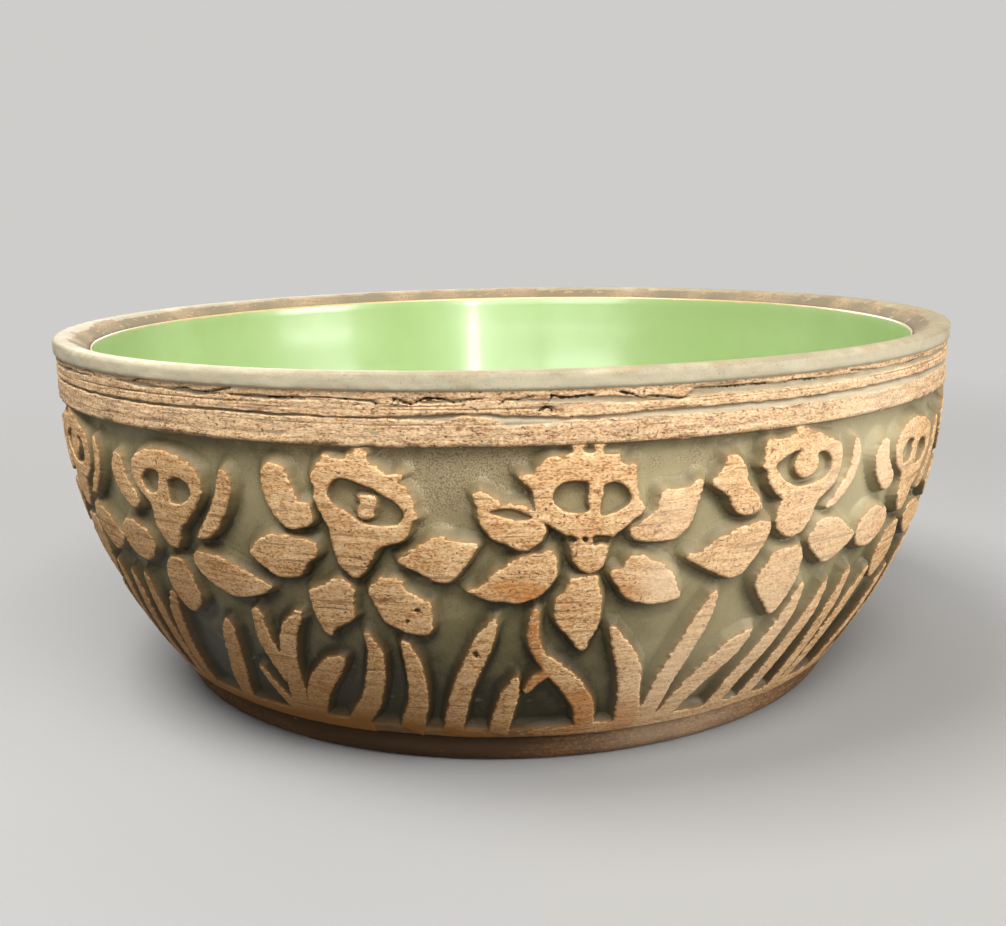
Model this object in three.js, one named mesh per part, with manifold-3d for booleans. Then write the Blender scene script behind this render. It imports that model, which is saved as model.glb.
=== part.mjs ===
// A stoneware bulb bowl with a moulded frieze of daffodils and leaves, in millimetres, +Z up.
// The origin is the middle of the foot's underside. Angles run from -Y towards +X.

import * as THREE from "three";
import { mergeVertices } from "three/addons/utils/BufferGeometryUtils.js";
import Module from "manifold-3d";

const wasm = await Module();
wasm.setup();

// Driving dimensions of the bowl
const BOWL_HEIGHT = 73;
const RIM_RADIUS = 95;
const WALL_THICKNESS = 4.3;
const FLOOR_THICKNESS = 6;
const FLOOR_CORNER = 14;
const LINING_THICKNESS = 0.6;
const SEAT_GAP = 0.3;

// How the outside swells from the foot to the collar
const BELLY_POWER = 2.1;
const COLLAR_INSET = 0.5;

// Foot ring
const FOOT_RADIUS = 71;
const FOOT_WIDTH = 11;
const FOOT_HEIGHT = 5;
const FOOT_FLARE = 2.4;
const FOOT_EDGE = 0.8;

// Turned collar, from its lower edge up to the lip
const BAND_HEIGHT = 4;
const GROOVE_HEIGHT = 1.2;
const GROOVE_DEPTH = 0.9;
const BEAD_HEIGHT = 1.6;
const SCORE_HEIGHT = 0.8;
const SCORE_DEPTH = 0.7;
const LIP_HEIGHT = 3.8;
const LIP_ROLL = 1.4;
const LIP_DROP = 2.8;

// Moulded frieze
const RELIEF_HEIGHT = 2.8;
const CHORD_ROOM = 0.2;
const WEB_THICKNESS = 0.4;
const WEB_RADIUS = 10.8;
const WEB_CENTRE = 47;
const RIDGE_FOOT = 5.7;
const RIDGE_TOP = 8.5;
const RIDGE_DROP = 0.3;
const FRIEZE_TURN = THREE.MathUtils.degToRad(-14.66);

// The frieze is drawn flat at this size, then fitted to the bowl. The unit is one step of the
// outlines below.
const DRAWN_UNIT = 1;
const DRAWN_PITCH = 37.3;
const DRAWN_FOOT = 5.3;
const DRAWN_TOP = 61.3;
const CLUMP_LEFT = -43.2;

// Fineness of the faceted solids
const SEGMENTS = 48;
const WALL_STEPS = 5;
const CORNER_STEPS = 2;
const LIP_STEPS = 3;
const WEB_SIDES = 10;
const RIDGE_STEPS = 4;

// Colours of the fired surfaces
const SAGE_GLAZE = { color: 0x7f8061, roughness: 0.55, metalness: 0 };
const BARE_CLAY = { color: 0xc9a472, roughness: 0.85, metalness: 0 };
const RIM_GLAZE = { color: 0xb3a47c, roughness: 0.6, metalness: 0 };
const FOOT_CLAY = { color: 0x6d5a44, roughness: 0.85, metalness: 0 };
const LINING_GLAZE = { color: 0xa9c184, roughness: 0.15, metalness: 0 };

// Heights and radii that follow from the driving dimensions
const COLLAR_HEIGHT = BAND_HEIGHT + GROOVE_HEIGHT + BEAD_HEIGHT + SCORE_HEIGHT + LIP_HEIGHT;
const COLLAR_FOOT = BOWL_HEIGHT - COLLAR_HEIGHT;
const WALL_TOP = COLLAR_FOOT - SEAT_GAP;
const WALL_FOOT = FOOT_HEIGHT + SEAT_GAP;
const FLOOR_TOP = WALL_FOOT + FLOOR_THICKNESS;
const COLLAR_RADIUS = RIM_RADIUS - COLLAR_INSET;
const FLOWERS_PER_PANEL = 4;
const PANELS = Math.max(1, Math.round((2 * Math.PI * RIM_RADIUS) / DRAWN_PITCH / FLOWERS_PER_PANEL));
const FLOWER_COUNT = PANELS * FLOWERS_PER_PANEL;
const FLOWER_ANGLE = (2 * Math.PI) / FLOWER_COUNT;

// How far the flat backs of the relief stand off the curved ground
const RELIEF_LIFT = SEAT_GAP + CHORD_ROOM;
const RIDGE_LIFT = RELIEF_LIFT + CHORD_ROOM / 2;
const WEB_LIFT = RELIEF_LIFT + CHORD_ROOM / 2;
const TRUMPET_LIFT = WEB_LIFT + WEB_THICKNESS + SEAT_GAP + CHORD_ROOM / 2;

// Four flowers make one panel. Outlines are [across, up] in drawn units: across from the flower's
// middle line, up from the table. A seed horn stands in the mouth of two of the trumpets.
const DAFFODILS = [
  {
    trumpet: [
      [-6.1, 57], [-4.1, 59.6], [1.9, 60.5], [8.6, 57.4], [10.3, 53], [9.7, 48.8], [7.7, 46.6],
      [4.1, 45], [1.3, 41], [-0.9, 40.1], [-3.1, 42.8], [-3.7, 47.6], [-5.9, 52],
    ],
    mouths: [
      [
        [-3.6, 54.4], [-2.3, 56.6], [1.7, 55.9], [6.7, 53.6], [8.6, 50.8], [6.3, 49.3],
        [3.1, 49.3], [3.9, 53.4], [1.7, 53.8], [1.4, 50.4], [-1.1, 51.2],
      ],
    ],
    petals: [
      [[-15.4, 54.4], [-14.5, 57.9], [-11.3, 57.2], [-9.1, 52.8], [-7, 50.6], [-7.3, 48.2],
        [-10.3, 47.6], [-13.9, 50]],
      [[-19.9, 43], [-15.7, 46], [-7.7, 45.9], [-6.7, 44], [-9.7, 40.4], [-14.3, 38.9], [-17.3, 40.6]],
      [[-4.3, 39.7], [-1.6, 38.6], [-1.5, 35.4], [-4.3, 31.2], [-7.9, 28.2], [-9.2, 31],
        [-9.7, 35.6], [-7.1, 38]],
      [[3.9, 40.2], [7.1, 40], [8.7, 37.2], [11.5, 36], [11.7, 31.2], [9.9, 29.5], [4.3, 31.4],
        [1.5, 36.6]],
      [[7.3, 43.4], [10.3, 46], [13.9, 47.4], [19.7, 46.2], [17.5, 42.2], [14.9, 39.6], [10.9, 41.2]],
    ],
  },
  {
    trumpet: [
      [-7.6, 58.6], [-5.6, 60], [4.8, 60], [7.4, 58.2], [7.8, 53.5], [8.8, 50.6], [4, 46.8],
      [2.8, 42.2], [0.4, 40.6], [-1.8, 42.2], [-3, 46.8], [-8, 50.2], [-8.6, 54.4], [-10.4, 56.6],
    ],
    mouths: [
      [[-5.5, 52.8], [-4.8, 54.9], [-2.8, 55.9], [0, 55.4], [-0.1, 51.3], [-3.6, 51.4]],
      [[2.3, 54.8], [4.2, 55.3], [6.2, 54], [6.6, 52.4], [4.4, 50.9], [2, 50.7]],
    ],
    petals: [
      [[-17.8, 54.4], [-16.4, 55.1], [-13.8, 53], [-8.8, 50.8], [-6.8, 48.2], [-8, 45.8],
        [-11.6, 45], [-15.2, 47.6], [-17.2, 50.6]],
      [[-19.4, 38.2], [-15.8, 40.8], [-11.6, 44], [-6.4, 44.7], [-4.7, 42], [-5.8, 38.2],
        [-9.4, 35.6], [-14.6, 36]],
      [[-2, 39.6], [1.4, 39.8], [2.8, 37], [2.6, 31], [0.8, 26], [-2.6, 29.4], [-5, 33.6],
        [-4.4, 36.8]],
      [[4, 40.2], [7.6, 43.4], [10.4, 42.4], [14.4, 40.4], [17, 34.8], [13.6, 33.8], [8.8, 34.8],
        [5.8, 37.6]],
      [[18.6, 54.9], [18, 50.4], [16, 46.6], [12, 45.2], [7.6, 45.6], [7.2, 47.6], [10.8, 49.6],
        [12.4, 53.2], [15.8, 53.7]],
    ],
  },
  {
    trumpet: [
      [-7.1, 58.8], [-5.3, 60], [4.3, 60.4], [8.5, 58.8], [10.3, 55.6], [9.9, 51.8], [5.9, 48.6],
      [4.1, 44.4], [0.5, 42.6], [-2.7, 44.4], [-3.5, 49.4], [-6.1, 52.4], [-7.4, 56],
    ],
    mouths: [
      [
        [-4.7, 55.4], [-0.7, 57.2], [-0.9, 55.2], [0.7, 53.2], [3.5, 53.2], [4.7, 55.2],
        [4.5, 56.9], [7.3, 55.6], [7.1, 53.2], [4.7, 51.8], [-0.3, 51.9], [-3.3, 53.2],
      ],
    ],
    petals: [
      [[-16.6, 54.4], [-14.1, 58.2], [-11.1, 56.6], [-9.8, 53.4], [-6.6, 48.9], [-9.7, 48],
        [-12.9, 51]],
      [[-19.9, 41.6], [-14.9, 44], [-9.3, 45.5], [-4.9, 46.3], [-4.5, 43], [-6.9, 38.8],
        [-10.3, 36.9], [-15.9, 38.9]],
      [[-0.1, 40.5], [2.3, 40.6], [4.5, 38], [4.7, 33.6], [1.1, 27.8], [-2.5, 31], [-5.4, 35],
        [-3.3, 38.4]],
      [[4.9, 41.6], [7.1, 44.4], [10.7, 44.4], [15.9, 41.8], [18.3, 40], [15.1, 37], [10.9, 36],
        [6.7, 38.8]],
      [[14.3, 58], [15.7, 55.2], [14.1, 50.4], [11.3, 47.2], [7.7, 46.8], [10.1, 49.4],
        [12.5, 52.6]],
    ],
  },
  {
    trumpet: [
      [-8.6, 55.6], [-6, 57.4], [-1.2, 58.4], [4.2, 57.6], [8.2, 55.8], [8.4, 51.2], [5, 47.2],
      [2.2, 44.8], [-0.2, 41], [-3, 41.4], [-4.8, 44.4], [-5, 48.2], [-8, 50.6],
    ],
    mouths: [
      [[-6.3, 52.6], [-4, 54.4], [-1.4, 54.4], [-2.3, 50.9], [-5.2, 50.8]],
      [[1.4, 53.4], [5.6, 53.2], [6.4, 51.4], [4.2, 50], [0.4, 49.2]],
    ],
    petals: [
      [[-15, 56], [-12.6, 55.8], [-11.4, 51.2], [-8.7, 49.2], [-9.2, 47.2], [-12, 46.8],
        [-15.4, 50], [-16.7, 53.4]],
      [[-18.4, 40.2], [-16, 43.4], [-10.8, 43.6], [-7.4, 40.8], [-8.8, 38], [-13, 36.4], [-17.4, 37.8]],
      [[-2.8, 38.6], [-0.2, 38.7], [1.4, 34.4], [1.6, 31], [-3.2, 27.6], [-6.2, 30.4], [-6.4, 34.6]],
      [[3.2, 39], [5.6, 41.5], [13.2, 39.6], [20.2, 36.8], [17.6, 34.9], [11.6, 33.5], [6, 35.6]],
      [[14.2, 56.4], [15.1, 52], [12.4, 47.2], [9, 44], [6, 43.8], [8.8, 47.2], [11.6, 51.4]],
    ],
  },
];

// The leaves that stand to the left of each flower's stem, as [across, up, blade width] from tip to
// base. Each clump grows from its own length of the border ridge.
const LEAF_CLUMPS = [
  [
    [[-31, 27.3, 2.4], [-33.2, 22, 3.8], [-35.2, 17, 4], [-38.2, 12.5, 4], [-40.9, 7, 3.8]],
    [[-28, 18, 1.4], [-26.5, 13, 2.4], [-24.2, 7, 3]],
    [[-22.3, 31, 2.2], [-23, 25, 3.4], [-21.6, 16, 3]],
    [[-13, 31.8, 1.8], [-16.2, 28.5, 3], [-19.2, 21.5, 3.6], [-21, 14, 3.8], [-23.7, 7, 4.2]],
    [[-6.9, 23.2, 1.8], [-9.2, 21.6, 3.8], [-14.2, 16.5, 4.4], [-17.5, 11.5, 4.2], [-19.7, 7, 4.4]],
    [[-0.6, 29, 1.4], [0.5, 25.5, 2.8], [-0.9, 20, 3.6], [-3.5, 14, 3.8], [-9.9, 7, 3.8]],
  ],
  [
    [[-31.2, 27.5, 1.6], [-30.2, 24, 3], [-30.2, 18.5, 3.4], [-31, 14, 3.8], [-34.3, 7, 5]],
    [[-15.2, 32.2, 1.8], [-17.2, 28, 3.4], [-21.8, 18, 3.6], [-25.2, 7, 4]],
    [[-11.4, 20.4, 1], [-12.6, 17, 3.4], [-13.8, 13, 3.8], [-15.4, 7, 4]],
  ],
  [
    [[-46.8, 17.6, 1.2], [-45.4, 20, 1.8], [-42, 22.4, 1.8]],
    [[-45.5, 34, 1.4], [-45.9, 29, 2], [-44.9, 25.8, 2], [-41.9, 22.3, 3.4], [-38.1, 18.2, 4.2],
      [-35.1, 13.5, 4.2], [-34, 7, 4.2]],
    [[-32, 30, 1.4], [-29.9, 26, 3.2], [-27.3, 21, 4.6], [-26.1, 15, 4.6], [-24.4, 7, 6]],
    [[-13.5, 34, 1.8], [-15.1, 29, 3.8], [-19.1, 18, 4.2], [-20.8, 7, 4.4]],
    [[-3.1, 24.6, 2.4], [-5.4, 22.4, 4.8], [-10.7, 16.8, 4.8], [-14.1, 12.2, 4.4], [-16.4, 7, 4.6]],
  ],
  [
    [[-30.4, 32, 1.8], [-31.2, 27, 3.6], [-34.4, 20.5, 4.2], [-38, 15, 4.2], [-40.8, 7, 4.2]],
    [[-23.2, 31.5, 1.8], [-24, 26, 3.6], [-27, 19.5, 4], [-31.8, 7, 4.2]],
    [[-16.4, 32.5, 1.8], [-16.8, 27, 3.4], [-20.1, 14, 3.6], [-21.8, 7, 3.4]],
    [[-7.6, 30.5, 1.8], [-10.6, 26, 3.4], [-14.4, 17, 3.6], [-17.9, 7, 3.6]],
  ],
];

// Radius of the scraped tops of the relief: they lie on one turned surface
function reliefRadius(z) {
  const below = Math.max(0, (WALL_TOP - z) / WALL_TOP);
  return COLLAR_RADIUS - (COLLAR_RADIUS - FOOT_RADIUS) * below ** BELLY_POWER;
}

const groundRadius = (z) => reliefRadius(z) - RELIEF_HEIGHT;
const innerRadius = (z) => groundRadius(z) - WALL_THICKNESS;
const MOUTH_RADIUS = innerRadius(WALL_TOP);

const ringHeights = (low, high, steps) =>
  Array.from({ length: steps + 1 }, (_, i) => low + ((high - low) * i) / steps);

// Turns a profile of [radius, height] about Z
function lathe(profile) {
  const points = profile.map(([r, z]) => new THREE.Vector2(r, z));
  return new THREE.LatheGeometry(points, SEGMENTS).rotateX(Math.PI / 2);
}

const curvePoints = (curve, steps) => curve.getPoints(steps).map((p) => [p.x, p.y]);

// A quarter of an ellipse, turned with the profile
function ellipseQuarter(r, z, radial, rise, from, to) {
  const clockwise = to < from;
  const start = THREE.MathUtils.degToRad(from);
  const end = THREE.MathUtils.degToRad(to);
  return curvePoints(new THREE.EllipseCurve(r, z, radial, rise, start, end, clockwise), LIP_STEPS);
}

// The inside of the bowl from the axis out and up to the height top, moved inwards by inset
function innerProfile(inset, top) {
  const bend = FLOOR_TOP + FLOOR_CORNER;
  const wallStart = innerRadius(bend) - inset;
  const wallRise = innerRadius(bend + 1) - innerRadius(bend);
  const corner = wallStart - wallRise * FLOOR_CORNER;
  const floor = FLOOR_TOP + inset;
  const curve = new THREE.QuadraticBezierCurve(
    new THREE.Vector2(corner - FLOOR_CORNER, floor),
    new THREE.Vector2(corner, floor),
    new THREE.Vector2(wallStart, bend),
  );
  const wall = ringHeights(bend, WALL_TOP, WALL_STEPS).slice(1);
  const profile = [
    [0, floor],
    ...curvePoints(curve, CORNER_STEPS),
    ...wall.map((z) => [innerRadius(z) - inset, z]),
  ];
  if (top > WALL_TOP) profile.push([MOUTH_RADIUS - inset, top]);
  return profile;
}

function wallGeometry() {
  const outside = ringHeights(WALL_FOOT, WALL_TOP, WALL_STEPS).map((z) => [groundRadius(z), z]);
  return lathe([[0, WALL_FOOT], ...outside, ...innerProfile(0, WALL_TOP).reverse()]);
}

function liningGeometry() {
  const top = BOWL_HEIGHT - LIP_DROP - SEAT_GAP;
  const back = innerProfile(SEAT_GAP, top);
  const face = innerProfile(SEAT_GAP + LINING_THICKNESS, top);
  return lathe([...back, ...face.reverse()]);
}

function collarGeometry() {
  const groove = COLLAR_FOOT + BAND_HEIGHT;
  const bead = groove + GROOVE_HEIGHT;
  const score = bead + BEAD_HEIGHT;
  const lip = score + SCORE_HEIGHT;
  const crest = RIM_RADIUS - LIP_ROLL;
  const shoulder = BOWL_HEIGHT - LIP_DROP;
  return lathe([
    [MOUTH_RADIUS, COLLAR_FOOT],
    [COLLAR_RADIUS, COLLAR_FOOT],
    [COLLAR_RADIUS, groove],
    [COLLAR_RADIUS - GROOVE_DEPTH, groove + GROOVE_HEIGHT / 2],
    [COLLAR_RADIUS, bead],
    [COLLAR_RADIUS, score],
    [COLLAR_RADIUS - SCORE_DEPTH, score + SCORE_HEIGHT / 2],
    ...ellipseQuarter(crest, lip, LIP_ROLL, LIP_HEIGHT, 0, 90),
    ...ellipseQuarter(crest, shoulder, crest - MOUTH_RADIUS, LIP_DROP, 90, 180).slice(1),
    [MOUTH_RADIUS, COLLAR_FOOT],
  ]);
}

function footGeometry() {
  const inner = FOOT_RADIUS - FOOT_WIDTH;
  const swell = new THREE.QuadraticBezierCurve(
    new THREE.Vector2(FOOT_RADIUS - FOOT_EDGE, 0),
    new THREE.Vector2(FOOT_RADIUS + FOOT_FLARE, FOOT_HEIGHT / 4),
    new THREE.Vector2(FOOT_RADIUS + FOOT_FLARE - FOOT_EDGE, FOOT_HEIGHT),
  );
  return lathe([
    [inner + FOOT_EDGE, 0],
    ...curvePoints(swell, CORNER_STEPS),
    [inner, FOOT_HEIGHT],
    [inner, FOOT_EDGE],
    [inner + FOOT_EDGE, 0],
  ]);
}

// A closed geometry as a solid for joining and cutting, and back again
function toSolid(geometry) {
  geometry.deleteAttribute("normal");
  geometry.deleteAttribute("uv");
  const merged = mergeVertices(geometry);
  return new wasm.Manifold(
    new wasm.Mesh({
      numProp: 3,
      vertProperties: Float32Array.from(merged.attributes.position.array),
      triVerts: Uint32Array.from(merged.index.array),
    }),
  );
}

function toGeometry(solid) {
  const { vertProperties, triVerts } = solid.getMesh();
  const geometry = new THREE.BufferGeometry();
  geometry.setAttribute("position", new THREE.BufferAttribute(vertProperties, 3));
  geometry.setIndex(new THREE.BufferAttribute(triVerts, 1));
  geometry.computeVertexNormals();
  return geometry;
}

// Height on the bowl of a height in the drawing
function fitHeight(up) {
  const share = (up - DRAWN_FOOT) / (DRAWN_TOP - DRAWN_FOOT);
  return THREE.MathUtils.lerp(WALL_FOOT, WALL_TOP, share);
}

// Bends a flat piece round the bowl: x is across and y up in the drawing, z stands off the ground
function wrap(geometry, turn) {
  const position = geometry.attributes.position;
  for (let i = 0; i < position.count; i += 1) {
    const angle = turn + (position.getX(i) / DRAWN_PITCH) * FLOWER_ANGLE;
    const height = fitHeight(position.getY(i));
    const radius = groundRadius(height) + position.getZ(i);
    position.setXYZ(i, radius * Math.sin(angle), -radius * Math.cos(angle), height);
  }
  return toSolid(geometry);
}

// The points of a drawn outline, anticlockwise
function drawnPoints(outline) {
  const points = outline.map(([x, y]) => new THREE.Vector2(x, y).multiplyScalar(DRAWN_UNIT));
  return THREE.ShapeUtils.isClockWise(points) ? points.reverse() : points;
}

// A petal or trumpet, from the height low above the ground up to the scraped tops
function outlineBlock(outline, holes, low, turn) {
  const shape = new THREE.Shape(drawnPoints(outline));
  shape.holes = holes.map((hole) => new THREE.Path(drawnPoints(hole)));
  const depth = RELIEF_HEIGHT - low;
  const block = new THREE.ExtrudeGeometry(shape, { depth, bevelEnabled: false });
  return wrap(block.translate(0, 0, low), turn);
}

// A leaf blade: a box whose rows are moved to the points of its middle line, the top row to the tip
function bladeBlock(path, turn) {
  const depth = RELIEF_HEIGHT - RELIEF_LIFT;
  const rows = path.length - 1;
  const block = new THREE.BoxGeometry(1, rows, depth, 1, rows, 1);
  block.translate(0, rows / 2, RELIEF_LIFT + depth / 2);
  const position = block.attributes.position;
  for (let i = 0; i < position.count; i += 1) {
    const row = rows - Math.round(position.getY(i));
    const [x, y, width] = path[row];
    const [x0, y0] = path[Math.min(rows, row + 1)];
    const [x1, y1] = path[Math.max(0, row - 1)];
    const side = (position.getX(i) * width) / Math.hypot(x1 - x0, y1 - y0);
    position.setX(i, (x + (y1 - y0) * side) * DRAWN_UNIT);
    position.setY(i, (y - (x1 - x0) * side) * DRAWN_UNIT);
  }
  return wrap(block, turn);
}

// One clump's length of the low ridge that borders the frieze
function ridgeBlock(turn) {
  const width = DRAWN_PITCH - SEAT_GAP;
  const rise = RIDGE_TOP - RIDGE_FOOT;
  const depth = RELIEF_HEIGHT - RIDGE_DROP - RIDGE_LIFT;
  const block = new THREE.BoxGeometry(width, rise, depth, RIDGE_STEPS, 1, 1);
  const middle = CLUMP_LEFT + DRAWN_PITCH / 2;
  return wrap(block.translate(middle, RIDGE_FOOT + rise / 2, RIDGE_LIFT + depth / 2), turn);
}

// The thin web behind the trumpet that holds one flower's petals together
function webBlock(turn) {
  const disc = new THREE.CylinderGeometry(WEB_RADIUS, WEB_RADIUS, WEB_THICKNESS, WEB_SIDES);
  disc.rotateX(Math.PI / 2).translate(0, WEB_CENTRE, WEB_LIFT + WEB_THICKNESS / 2);
  return wrap(disc, turn);
}

const joinAll = (solids) => solids.reduce((whole, solid) => whole.add(solid));

function petalsGeometry({ petals }, turn) {
  const raised = petals.map((petal) => outlineBlock(petal, [], RELIEF_LIFT, turn));
  return toGeometry(joinAll([webBlock(turn), ...raised]));
}

function trumpetGeometry({ trumpet, mouths }, turn) {
  return toGeometry(outlineBlock(trumpet, mouths, TRUMPET_LIFT, turn));
}

function leavesGeometry(clump, turn) {
  return toGeometry(joinAll([ridgeBlock(turn), ...clump.map((path) => bladeBlock(path, turn))]));
}

const bowl = new THREE.Group();

function addPart(name, geometry, finish) {
  const mesh = new THREE.Mesh(geometry, new THREE.MeshStandardMaterial(finish));
  mesh.name = name;
  bowl.add(mesh);
}

addPart("bowl_wall", wallGeometry(), SAGE_GLAZE);
addPart("rim_collar", collarGeometry(), RIM_GLAZE);
addPart("foot_ring", footGeometry(), FOOT_CLAY);
addPart("interior_glaze", liningGeometry(), LINING_GLAZE);

for (let flower = 0; flower < FLOWER_COUNT; flower += 1) {
  const design = flower % FLOWERS_PER_PANEL;
  const turn = FRIEZE_TURN + flower * FLOWER_ANGLE;
  const number = String(flower + 1).padStart(2, "0");
  addPart(`daffodil_petals_${number}`, petalsGeometry(DAFFODILS[design], turn), BARE_CLAY);
  addPart(`daffodil_trumpet_${number}`, trumpetGeometry(DAFFODILS[design], turn), BARE_CLAY);
  addPart(`leaf_clump_${number}`, leavesGeometry(LEAF_CLUMPS[design], turn), BARE_CLAY);
}

export default bowl;
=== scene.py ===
# %% [markdown]
# # A stoneware bulb bowl with a frieze of daffodils
# The bowl was moulded with thick petals and leaves, glazed sage green all over, and then turned on a
# wheel while a blade scraped the tops of the relief back to bare clay. That order of work is also the
# order of this script: a moulded height, a turned cut through it, and a finish that asks of each point
# whether the blade reached it.

# %% Tools and the packed model
import math

import bpy
import numpy as np
from mathutils import Matrix


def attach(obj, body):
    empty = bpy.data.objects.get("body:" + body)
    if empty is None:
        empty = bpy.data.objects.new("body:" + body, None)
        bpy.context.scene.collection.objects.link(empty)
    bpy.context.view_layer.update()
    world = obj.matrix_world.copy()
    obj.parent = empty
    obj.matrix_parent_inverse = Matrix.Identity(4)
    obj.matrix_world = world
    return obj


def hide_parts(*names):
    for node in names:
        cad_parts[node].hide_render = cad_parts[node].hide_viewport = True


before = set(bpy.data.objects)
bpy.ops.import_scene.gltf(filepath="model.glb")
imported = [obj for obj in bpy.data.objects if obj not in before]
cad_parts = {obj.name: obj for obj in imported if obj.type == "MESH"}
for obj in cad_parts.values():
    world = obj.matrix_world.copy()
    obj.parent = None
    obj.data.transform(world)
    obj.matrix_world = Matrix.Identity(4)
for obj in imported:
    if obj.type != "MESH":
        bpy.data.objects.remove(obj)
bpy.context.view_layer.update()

# %% [markdown]
# ## The camera
# The photograph was taken from close by, a little above the rim, so the front of the bowl looms large
# and the far rim is a thin ellipse. Distance, height and tilt were found by fitting those ellipses, and
# a close camera with a modest lens gives the same strong perspective. The camera leans by one degree.

# %% The camera
CAMERA_PLACE = (0.0, -0.2684, 0.0964)
CAMERA_DOWN = 0.2109
CAMERA_LEAN = -0.0192
CAMERA_TURN = 0.0006
LENS = 42.53

bpy.ops.object.camera_add(location=CAMERA_PLACE)
camera = bpy.context.object
camera.name = "photo_view"
camera.data.lens = LENS
camera.data.clip_start = 0.01
camera.data.clip_end = 20
tilt = Matrix.Rotation(CAMERA_TURN, 4, "Z") @ Matrix.Rotation(math.pi / 2 - CAMERA_DOWN, 4, "X")
camera.matrix_world = Matrix.Translation(CAMERA_PLACE) @ tilt @ Matrix.Rotation(CAMERA_LEAN, 4, "Z")
bpy.context.scene.camera = camera
bpy.context.scene.view_settings.view_transform = "Standard"
print("camera", LENS, "mm lens at", CAMERA_PLACE)

# %% [markdown]
# ## The bowl's curve
# All sizes are in millimetres and are the same as the packed model's. The scraped tops of the relief and
# the collar lie on one turned curve, and the packed model's ground lies a fixed step behind it. The
# heights of the frieze below are measured from that ground, and the glaze between the flowers stands a
# little proud of it, because the real relief is shallow.

# %% Sizes
MM = 0.001
RIM_RADIUS = 95.0
BOWL_HEIGHT = 73.0
COLLAR_RADIUS = 94.5
COLLAR_FOOT = 61.45
FOOT_RADIUS = 71.0
FOOT_TOP = 5.3
WALL_TOP = 61.3
WALL = 4.3
RELIEF = 2.8
BELLY_POWER = 2.1
AROUND = 2 * math.pi * RIM_RADIUS


def scraped_radius(z):
    """Radius of the turned tops of the relief at the height z."""
    below = np.clip((WALL_TOP - z) / WALL_TOP, 0, None)
    return COLLAR_RADIUS - (COLLAR_RADIUS - FOOT_RADIUS) * below ** BELLY_POWER


def ground_radius(z):
    """Radius of the packed model's ground, from which the frieze is measured."""
    return scraped_radius(z) - RELIEF


def on_bowl(turn, radius, z):
    """Points in metres from angles (from the front, to the right), radii and heights in millimetres."""
    turn, radius, z = np.broadcast_arrays(turn, radius, z)
    return np.stack([radius * np.sin(turn), -radius * np.cos(turn), z], -1) * MM


print("ground radius at foot and collar:", ground_radius(np.array([FOOT_TOP, WALL_TOP])).round(1))

# %% [markdown]
# ## Helpers for meshes
# Operators act on whatever is selected, so each piece starts with an empty selection. Values that the
# finishes need, such as how deep the blade cut, are stored on the mesh's points as attributes.

# %% Helpers for meshes


def clear_selection():
    """Leave edit mode and select nothing."""
    if bpy.context.object and bpy.context.object.mode != "OBJECT":
        bpy.ops.object.mode_set(mode="OBJECT")
    bpy.ops.object.select_all(action="DESELECT")


def make_active(piece):
    """Select one piece alone."""
    clear_selection()
    piece.select_set(True)
    bpy.context.view_layer.objects.active = piece


def points_of(piece):
    """The piece's points as rows of x, y, z."""
    places = np.empty(len(piece.data.vertices) * 3, np.float32)
    piece.data.vertices.foreach_get("co", places)
    return places.reshape(-1, 3)


def place_points(piece, places):
    """Move the piece's points."""
    piece.data.vertices.foreach_set("co", np.asarray(places, np.float32).ravel())
    piece.data.update()


def store(piece, **layers):
    """Store one number for each point under each name."""
    for name, values in layers.items():
        layer = piece.data.attributes.get(name) or piece.data.attributes.new(name, "FLOAT", "POINT")
        layer.data.foreach_set("value", np.asarray(values, np.float32).ravel())


print("meshes so far:", len(bpy.data.meshes))

# %% [markdown]
# Moulded clay is never even. `grain` gives soft random hills of a chosen width and height in mm. Blender's
# own noise could do it, but these hills join up a quarter turn on, as the frieze does, and seeded chance
# makes them come out the same each time.

# %% Soft random hills


def smoothstep(x):
    """0 below 0, 1 above 1, and an S-curve between."""
    x = np.clip(x, 0, 1)
    return x * x * (3 - 2 * x)


def grain(turn, z, wide, tall, seed):
    """Soft random hills from -1 to 1, wide by tall mm, that join up a quarter turn on."""
    across = max(1, round(AROUND / 4 / wide))
    rows = int(BOWL_HEIGHT / tall) + 4
    lattice = np.random.default_rng(seed).uniform(-1, 1, (across, rows))
    x = (turn / (math.pi / 2) * across) % across
    y = np.clip(z / tall + 1, 0, rows - 2.001)
    i, j = np.floor(x).astype(int), np.floor(y).astype(int)
    fx, fy = smoothstep(x - i), smoothstep(y - j)
    i, k = i % across, (i + 1) % across
    low = lattice[i, j] * (1 - fx) + lattice[k, j] * fx
    high = lattice[i, j + 1] * (1 - fx) + lattice[k, j + 1] * fx
    return low * (1 - fy) + high * fy


some_hills = grain(np.linspace(0, math.pi, 200), 30.0, 5, 5, 1)
print("a row of hills runs from", some_hills.min().round(2), "to", some_hills.max().round(2))


# %% [markdown]
# ## Drawing the frieze
# Four different daffodils stand side by side and fill a quarter of the bowl, and the quarter repeats.
# Each outline is where bare clay meets glaze, as [across, up] in millimetres: across from the flower's
# middle line and up from the table. Only a few points are given, and a smooth line is drawn through them.
# Mouths are the hollows of a trumpet, a horn is the stub that stands in one, and slits are narrow cuts in
# petals or leaves.

# %% The four daffodils
FLOWER_PITCH = 37.3
FIRST_FLOWER = math.radians(-14.66)

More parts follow.
